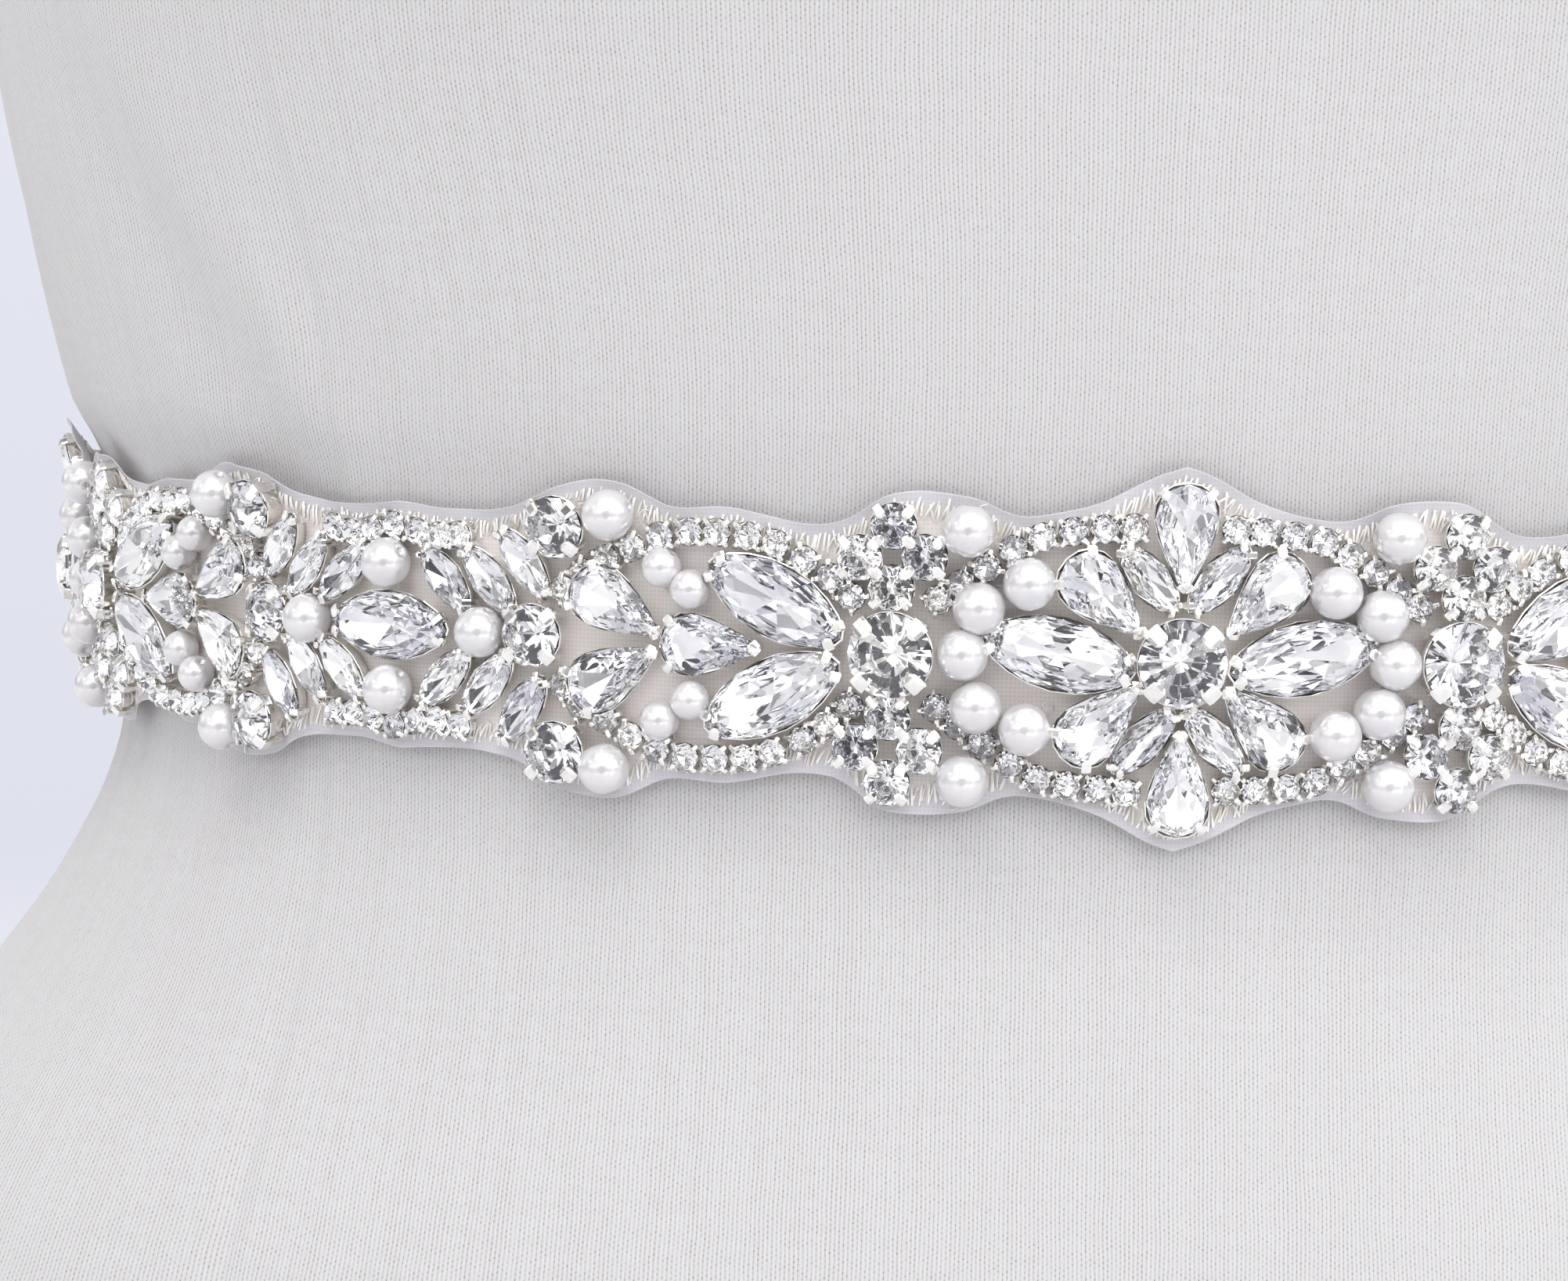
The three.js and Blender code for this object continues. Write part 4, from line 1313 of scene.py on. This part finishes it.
# %% Tubes along short paths
# A way that no path runs in, which gives each tube its sides
OFF_PATH = (0.31, 0.13, 0.94)


def tubes(paths, radius, sides=3):
    """Points and faces of a closed tube along each path. paths is an array of (paths, points, 3)."""
    paths = np.asarray(paths, float)
    count, steps, _ = paths.shape
    way = np.gradient(paths, axis=1)
    way /= np.linalg.norm(way, axis=-1, keepdims=True)
    side = np.cross(way, OFF_PATH)
    side /= np.linalg.norm(side, axis=-1, keepdims=True)
    other = np.cross(way, side)
    turn = 2 * math.pi * np.arange(sides) / sides
    ring = side[:, :, None] * np.cos(turn)[:, None] + other[:, :, None] * np.sin(turn)[:, None]
    points = paths[:, :, None] + radius * ring
    k = np.arange(sides)
    i, j = np.meshgrid(np.arange(count), np.arange(steps - 1), indexing="ij")
    a = (i * steps + j)[..., None] * sides + k
    b = (i * steps + j)[..., None] * sides + (k + 1) % sides
    walls = np.stack([a, b, b + sides, a + sides], -1).reshape(-1, 4).tolist()
    first = (np.arange(count) * steps * sides)[:, None]
    last = first + (steps - 1) * sides
    ends = (first + k[::-1]).tolist() + (last + k).tolist()
    return points.reshape(-1, 3), walls + ends

# %% Whip stitches round the rim
STITCH_PITCH = 0.4
STITCH_END = 0.5
STITCH_RADIUS = 0.13
STITCH_FROM = 1.05
STITCH_TO = 2.85
STITCH_SLANT = 0.35
STITCH_LIFT = 0.08
STITCH_ARCH = 0.16

# How much the stitches differ, as standard deviations in millimetres
STITCH_SPREAD = {"along": 0.1, "slant": 0.4, "start": 0.2, "stop": 0.22}


def stitch_paths():
    stations = np.arange(-BAND_END + STITCH_END, BAND_END - STITCH_END, STITCH_PITCH)
    paths = []
    for side in (1, -1):
        spread = {name: chance.normal(0, size, len(stations)) for name, size in STITCH_SPREAD.items()}
        along = stations + spread["along"]
        slant = STITCH_SLANT * side + spread["slant"]
        start = STITCH_FROM + spread["start"]
        stop = STITCH_TO + spread["stop"]
        share = np.linspace(0, 1, 4)[None]
        run = along[:, None] + slant[:, None] * (share - 0.5)
        depth = start[:, None] + (stop - start)[:, None] * share
        reach = reach_at(run)
        up = side * (reach - depth)
        arch = STITCH_LIFT + STITCH_ARCH * np.sin(math.pi * share)
        lift = BAND_OUT + band_lift(run, up / reach) + arch
        paths.append(on_sash(run, up, lift))
    return np.concatenate(paths)


stitch_tubes = tubes(stitch_paths(), STITCH_RADIUS)
stitches = make_piece("rim_stitches", *stitch_tubes, [clear_thread], smooth=False)

# %% Loops of thread beside the pearls
LOOP_RADIUS = 0.06
LOOP_NONE = 0.35
LOOP_AWAY = (0.95, 1.25)
LOOP_SIZE = (0.5, 1.1)
LOOP_LEAN = 0.8
LOOP_ARCH = (0.12, 0.35)


def loop_paths():
    paths = []
    for kind in PEARLS:
        for place in places[kind]:
            if chance.uniform() < LOOP_NONE:
                continue
            along, up, _ = place
            heading = chance.uniform(0, 2 * math.pi)
            far = PEARLS[kind] / 2 * chance.uniform(*LOOP_AWAY)
            size = chance.uniform(*LOOP_SIZE)
            t = np.linspace(0, 2 * math.pi, 14)
            run = along + far * math.cos(heading) + size * np.cos(t) * math.cos(heading + LOOP_LEAN)
            rise = up + far * math.sin(heading) + LOOP_LEAN * size * np.sin(t)
            paths.append(on_sash(run, rise, BEAD_OUT + LOOP_ARCH[0] + LOOP_ARCH[1] * (1 - np.cos(t))))
    return np.array(paths)


loops = make_piece("thread_loops", *tubes(loop_paths(), LOOP_RADIUS), [clear_thread])

# %% [markdown]
# ## The ribbon behind
#
# The photograph shows only the beaded front. A satin ribbon, sewn under each end of the organza, runs round
# to the back. It gathers into three pleats and ties in a plain knot, from which two tails hang. Each
# stretch is a thin closed sheet in the place of its solid.

# %% Ribbon, left and right
RIBBON_WIDTH = 25
RIBBON_INSIDE = 0.3
RIBBON_THICKNESS = 0.35
RIBBON_TUCK = 6
GATHER_OVER = 46
GATHER_HEIGHT = 10.5
GATHER_PLEATS = 3
GATHER_RISE = 1.7
RIPPLE = 0.25
RIBBON_GRID = (70, 37)
TAIL_GRID = (110, 29)
KNOT_HALF_WIDTH = 9
KNOT_HALF_HEIGHT = 7.5
KNOT_DEPTH = 9


def smooth_step(value, low, high):
    share = np.clip((value - low) / (high - low), 0, 1)
    return share * share * (3 - 2 * share)


def satin_sheet(name, grid, length, at):
    """A thin closed satin sheet, with the flat place of each point for its weave."""
    points, faces = cloth_shell(*grid, at)
    piece = make_piece(name, points, faces, [satin])
    u, v = np.meshgrid(*(np.linspace(0, 1, count) for count in grid), indexing="ij")
    flat = np.stack([length * u, RIBBON_WIDTH * v, 0 * u], -1).reshape(-1, 3)
    give_points(piece, "weave_place", np.tile(flat, (2, 1)))
    return piece


def ribbon(name, way):
    start = BAND_END + END_ROUNDING - RIBBON_TUCK
    stop = HALF_ROUND - KNOT_HALF_WIDTH - 2 * SEAM_GAP

    def at(u, v, side):
        v = v if way > 0 else 1 - v
        along = start + (stop - start) * u
        gathered = smooth_step(along, stop - GATHER_OVER, stop)
        height = RIBBON_WIDTH + (GATHER_HEIGHT - RIBBON_WIDTH) * gathered
        pleat = GATHER_RISE * gathered * (0.5 - 0.5 * np.cos(2 * math.pi * GATHER_PLEATS * v))
        soft = RIPPLE * gathered * (1 - gathered) * np.sin(along * 0.4 + 5 * v)
        out = RIBBON_INSIDE + pleat + soft + side * RIBBON_THICKNESS
        return on_sash(way * along, height * (v - 0.5), out)

    return satin_sheet(name, RIBBON_GRID, stop - start, at)


for name, way in (("ribbon_left", 1), ("ribbon_right", -1)):
    ribbon("satin_" + name, way)
    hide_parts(name)

# %% [markdown]
# The knot is the ribbon's own width, gathered and wrapped once round the crossing. It is an open tube whose
# ends turn inwards, with soft pleats that run round it.

# %% Knot
KNOT_LENGTH = 38
KNOT_END = 0.8
KNOT_SIDES = 48
KNOT_STATIONS = 45
KNOT_WANDER = 0.5
KNOT_TURN_IN = ((0.86, 0.15), (0.62, 0.3))

# Its pleats: height as a share of the knot's size, and pitch in millimetres
KNOT_PLEAT = (0.035, 4.5)
KNOT_FINE = (0.012, 1.9)


def build_knot():
    turn = np.linspace(0, 2 * math.pi, KNOT_SIDES, endpoint=False)
    spans = [(KNOT_HALF_WIDTH * s, 1.0) for s in np.linspace(-1, 1, KNOT_STATIONS)]
    for shrink, inset in KNOT_TURN_IN:
        spans = [(-KNOT_HALF_WIDTH + inset, shrink)] + spans + [(KNOT_HALF_WIDTH - inset, shrink)]
    rings, places_on = [], []
    wander = KNOT_WANDER * np.sin(turn + 0.6)
    for x, shrink in spans:
        barrel = 1 + (KNOT_END - 1) * (x / KNOT_HALF_WIDTH) ** 2
        pleat = KNOT_PLEAT[0] * np.cos(2 * math.pi * (x + wander) / KNOT_PLEAT[1])
        fine = KNOT_FINE[0] * np.cos(2 * math.pi * (x - wander) / KNOT_FINE[1])
        size = (barrel + pleat + fine) * shrink
        out = np.maximum(SEAM_GAP, KNOT_DEPTH / 2 * (1 + size * np.cos(turn)))
        spot = on_sash(np.full_like(turn, HALF_ROUND), KNOT_HALF_HEIGHT * size * np.sin(turn), out)
        spot[:, 0] = x
        rings.append(spot)
        over = np.full_like(turn, x * RIBBON_WIDTH / (2 * KNOT_HALF_WIDTH))
        places_on.append(np.stack([turn * KNOT_LENGTH / (2 * math.pi), over, 0 * turn], -1))
    knot = make_piece("satin_knot", np.concatenate(rings), ring_walls(len(rings), KNOT_SIDES), [satin])
    give_points(knot, "weave_place", np.concatenate(places_on))
    return knot


knot = build_knot()
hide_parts("ribbon_knot")

# %% [markdown]
# Each tail leaves the knot narrow and pleated, falls back onto the form, and spreads to the ribbon's full
# width as it hangs. Its end is cut at a slant, so that it does not fray.

# %% Tails
TAILS = table("side length phase", (-1, 196, 0.4), (1, 184, 2.1))
TAIL_NAMES = ("tail_left", "tail_right")
TAIL_TOP = 8
TAIL_START = 4.7
TAIL_SPREAD = 9.5
TAIL_SPREAD_OVER = 25
TAIL_SPLAY = 0.06
TAIL_WIDEN_OVER = 22
TAIL_NARROW = 0.44
TAIL_STAND = 3.8
TAIL_FALL_OVER = 14
FOLD_PLEATS = 2
FOLD_RISE = 1.6
FOLD_OVER = 35
FOLD_WAVE = 1.7
FOLD_WAVE_LENGTH = 120
FOLD_CUT = 9


def tail(name, way, length, phase):
    def down_at(u, v):
        return u * (length - FOLD_CUT * (v if way > 0 else 1 - v) * u)

    def at(u, v, side):
        down = down_at(u, v)
        gathered = 2 * KNOT_HALF_WIDTH * TAIL_NARROW
        width = RIBBON_WIDTH + (gathered - RIBBON_WIDTH) * np.exp(-down / TAIL_WIDEN_OVER)
        middle = TAIL_START + TAIL_SPREAD * (1 - np.exp(-down / TAIL_SPREAD_OVER)) + TAIL_SPLAY * down
        x = way * middle + width * (v - 0.5)
        height = -TAIL_TOP - down
        across, deep, power = section_at(height, "side", "back", "square")
        y = deep * (1 - np.abs(x / across) ** power) ** (1 / power)
        pleat = 0.5 - 0.5 * np.cos(2 * math.pi * FOLD_PLEATS * v)
        wave = 0.5 - 0.5 * np.cos(2 * math.pi * down / FOLD_WAVE_LENGTH + phase + v)
        lift = TAIL_STAND * np.exp(-down / TAIL_FALL_OVER)
        lift = lift + FOLD_RISE * pleat * np.exp(-down / FOLD_OVER)
        lift = lift + FOLD_WAVE * wave * (1 - np.exp(-down / FOLD_OVER))
        out = SASH_GAP + lift + RIBBON_INSIDE + side * RIBBON_THICKNESS
        return off_form(np.arctan2(-x, -y), height, out)

    return satin_sheet(name, TAIL_GRID, length, at)


for name, way, length, phase in zip(TAIL_NAMES, *TAILS.values()):
    tail("satin_" + name, way, length, phase)
    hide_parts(name)

# %% [markdown]
# ## The cover's area
#
# The jersey cover is a tube, and its surface is added up from its faces and printed in square metres.

def area_of(piece):
    """The surface of a piece in square metres."""
    return sum(face.area for face in piece.data.polygons)


print("the cover's surface:", round(area_of(cover), 4), "square metres")

# %% [markdown]
# ## Floor, backdrop and light
#
# A pale floor fades into a pale backdrop, which only the camera sees. Rhinestones need something to mirror,
# so the room's light comes in patches, as it does in a real room with windows, white walls and darker
# corners: most are white, some are grey and a few are nearly black. One dark patch in front is the side of
# the room that the photograph is taken from. Three large soft lamps, above, at the right and behind, shade
# the cloth gently.

# %% Floor
FLOOR_SIZE = 3.0
FLOOR_SIDES = 64
FLOOR_FADE = (0.45, 1.3)

floor_paper, tree, shader = new_material("studio_paper", Roughness=0.8)
shader.inputs["Base Color"].default_value = linear("#D5D5D8")
floor_place = add_node(tree, "ShaderNodeTexCoord")
floor_far = add_node(tree, "ShaderNodeVectorMath", {0: floor_place.outputs["Object"]}, operation="LENGTH")
floor_alpha = add_node(
    tree,
    "ShaderNodeMapRange",
    {"Value": floor_far.outputs["Value"], "From Min": FLOOR_FADE[1], "From Max": FLOOR_FADE[0]},
    interpolation_type="SMOOTHSTEP",
)
tree.links.new(floor_alpha.outputs[0], shader.inputs["Alpha"])

floor_mesh = bpy.data.meshes.new("studio_floor")
floor_turn = np.linspace(0, 2 * math.pi, FLOOR_SIDES, endpoint=False)
floor_points = [(FLOOR_SIZE * math.cos(a), FLOOR_SIZE * math.sin(a), 0) for a in floor_turn]
floor_mesh.from_pydata(floor_points, [], [list(range(FLOOR_SIDES))])
floor_mesh.materials.append(floor_paper)
floor = bpy.data.objects.new("studio_floor", floor_mesh)
bpy.context.scene.collection.objects.link(floor)

# %% The room's walls and patches
ROOM_PATCHES = 3.4
ROOM_STRENGTH = 1.5
WINDOW_SHARE = 0.25
WINDOW_GAIN = 0.9
SIDE_GAIN = (0.82, 1.1)
DARK_WAY = (-0.13, -0.99, 0.08)
DARK_EDGE = (0.945, 0.965)

room = bpy.data.worlds.new("studio_room")
bpy.context.scene.world = room
room.use_nodes = True
tree = room.node_tree
background = tree.nodes["Background"]
direction = add_node(tree, "ShaderNodeTexCoord")
room_axes = add_node(tree, "ShaderNodeSeparateXYZ", {"Vector": direction.outputs["Generated"]})
room_level = add_node(
    tree, "ShaderNodeMapRange", {"Value": room_axes.outputs["Z"], "From Min": -1.0, "From Max": 1.0}
)
room_wall = colour_ramp(
    tree,
    room_level.outputs[0],
    (0.0, "#C6C5C2"),
    (0.35, "#E6E5E4"),
    (0.455, "#EEEDED"),
    (0.485, "#A2A2A3"),
    (0.54, "#A2A2A3"),
    (0.6, "#E4E4E5"),
    (0.75, "#F6F6F6"),
    (1.0, "#D0D0D2"),
)
patches = add_node(
    tree, "ShaderNodeTexVoronoi", {"Vector": direction.outputs["Generated"], "Scale": ROOM_PATCHES}
)
patch_tone = add_node(tree, "ShaderNodeSeparateColor", {0: patches.outputs["Color"]})
patch_shade = colour_ramp(
    tree, patch_tone.outputs[0], (0.0, "#3C3C3E"), (0.04, "#A6A6AA"), (0.12, "#EEEEEF")
)
patch_shade.node.color_ramp.interpolation = "CONSTANT"

# %% How bright each part of the room is
window = add_node(
    tree, "ShaderNodeMath", {0: patch_tone.outputs[0], 1: 1 - WINDOW_SHARE}, operation="GREATER_THAN"
)
window_gain = add_node(
    tree, "ShaderNodeMath", {0: window.outputs[0], 1: WINDOW_GAIN, 2: 1.0}, operation="MULTIPLY_ADD"
)
side_gain = add_node(
    tree,
    "ShaderNodeMapRange",
    {
        "Value": room_axes.outputs["X"],
        "From Min": -1.0,
        "To Min": SIDE_GAIN[0] * ROOM_STRENGTH,
        "To Max": SIDE_GAIN[1] * ROOM_STRENGTH,
    },
)
room_power = add_node(
    tree, "ShaderNodeMath", {0: window_gain.outputs[0], 1: side_gain.outputs[0]}, operation="MULTIPLY"
)
patched = add_node(
    tree, "ShaderNodeMix", {0: 1.0, 6: room_wall, 7: patch_shade}, data_type="RGBA", blend_type="MULTIPLY"
)
dark_near = add_node(
    tree, "ShaderNodeVectorMath", {0: direction.outputs["Generated"], 1: DARK_WAY}, operation="DOT_PRODUCT"
)
dark_patch = add_node(
    tree,
    "ShaderNodeMapRange",
    {"Value": dark_near.outputs["Value"], "From Min": DARK_EDGE[0], "From Max": DARK_EDGE[1]},
)
with_dark = add_node(
    tree,
    "ShaderNodeMix",
    {0: dark_patch.outputs[0], 6: patched.outputs[2], 7: linear("#46464A")},
    data_type="RGBA",
)

# %% What the camera sees of the room
seen = add_node(tree, "ShaderNodeLightPath")
backdrop_tone = colour_ramp(
    tree, room_level.outputs[0], (0.36, "#DDDFEB"), (0.46, "#E1E3EF"), (0.56, "#E6E8F3")
)
backdrop = add_node(
    tree,
    "ShaderNodeMix",
    {0: seen.outputs["Is Camera Ray"], 6: with_dark.outputs[2], 7: backdrop_tone},
    data_type="RGBA",
)
tree.links.new(backdrop.outputs[2], background.inputs["Color"])
shown_power = add_node(
    tree, "ShaderNodeMix", {0: seen.outputs["Is Camera Ray"], 2: room_power.outputs[0], 3: 1.0}
)
tree.links.new(shown_power.outputs[0], background.inputs["Strength"])

# %% Soft lamps
def soft_lamp(name, spot, aim, size, power):
    """A large rectangular lamp at a spot, aimed at another, in metres and watts."""
    lamp = bpy.data.objects.new(name, bpy.data.lights.new(name, "AREA"))
    lamp.data.shape = "RECTANGLE"
    lamp.data.size, lamp.data.size_y = size
    lamp.data.energy = power
    bpy.context.scene.collection.objects.link(lamp)
    way = Vector(spot) - Vector(aim)
    lamp.matrix_world = Matrix.Translation(spot) @ way.to_track_quat("Z", "Y").to_matrix().to_4x4()
    return lamp


WAIST = (0, 0, WAIST_HEIGHT * MM)
soft_lamp("overhead_lamp", (-0.4, -0.9, 1.9), WAIST, (1.4, 0.9), 14)
soft_lamp("right_lamp", (1.5, -1.2, 1.1), WAIST, (0.8, 1.2), 2.5)
soft_lamp("rear_lamp", (0.3, 1.6, 1.6), WAIST, (1.2, 0.9), 6)

# %% Bounces and exposure
# Light crosses a foiled stone many times, so more bounces are allowed than usual
bounces = bpy.context.scene.cycles
bounces.max_bounces = 28
bounces.glossy_bounces = 16
bounces.transmission_bounces = 20

view = bpy.context.scene.view_settings
view.view_transform = "Standard"
view.look = "None"
view.exposure = 0.0
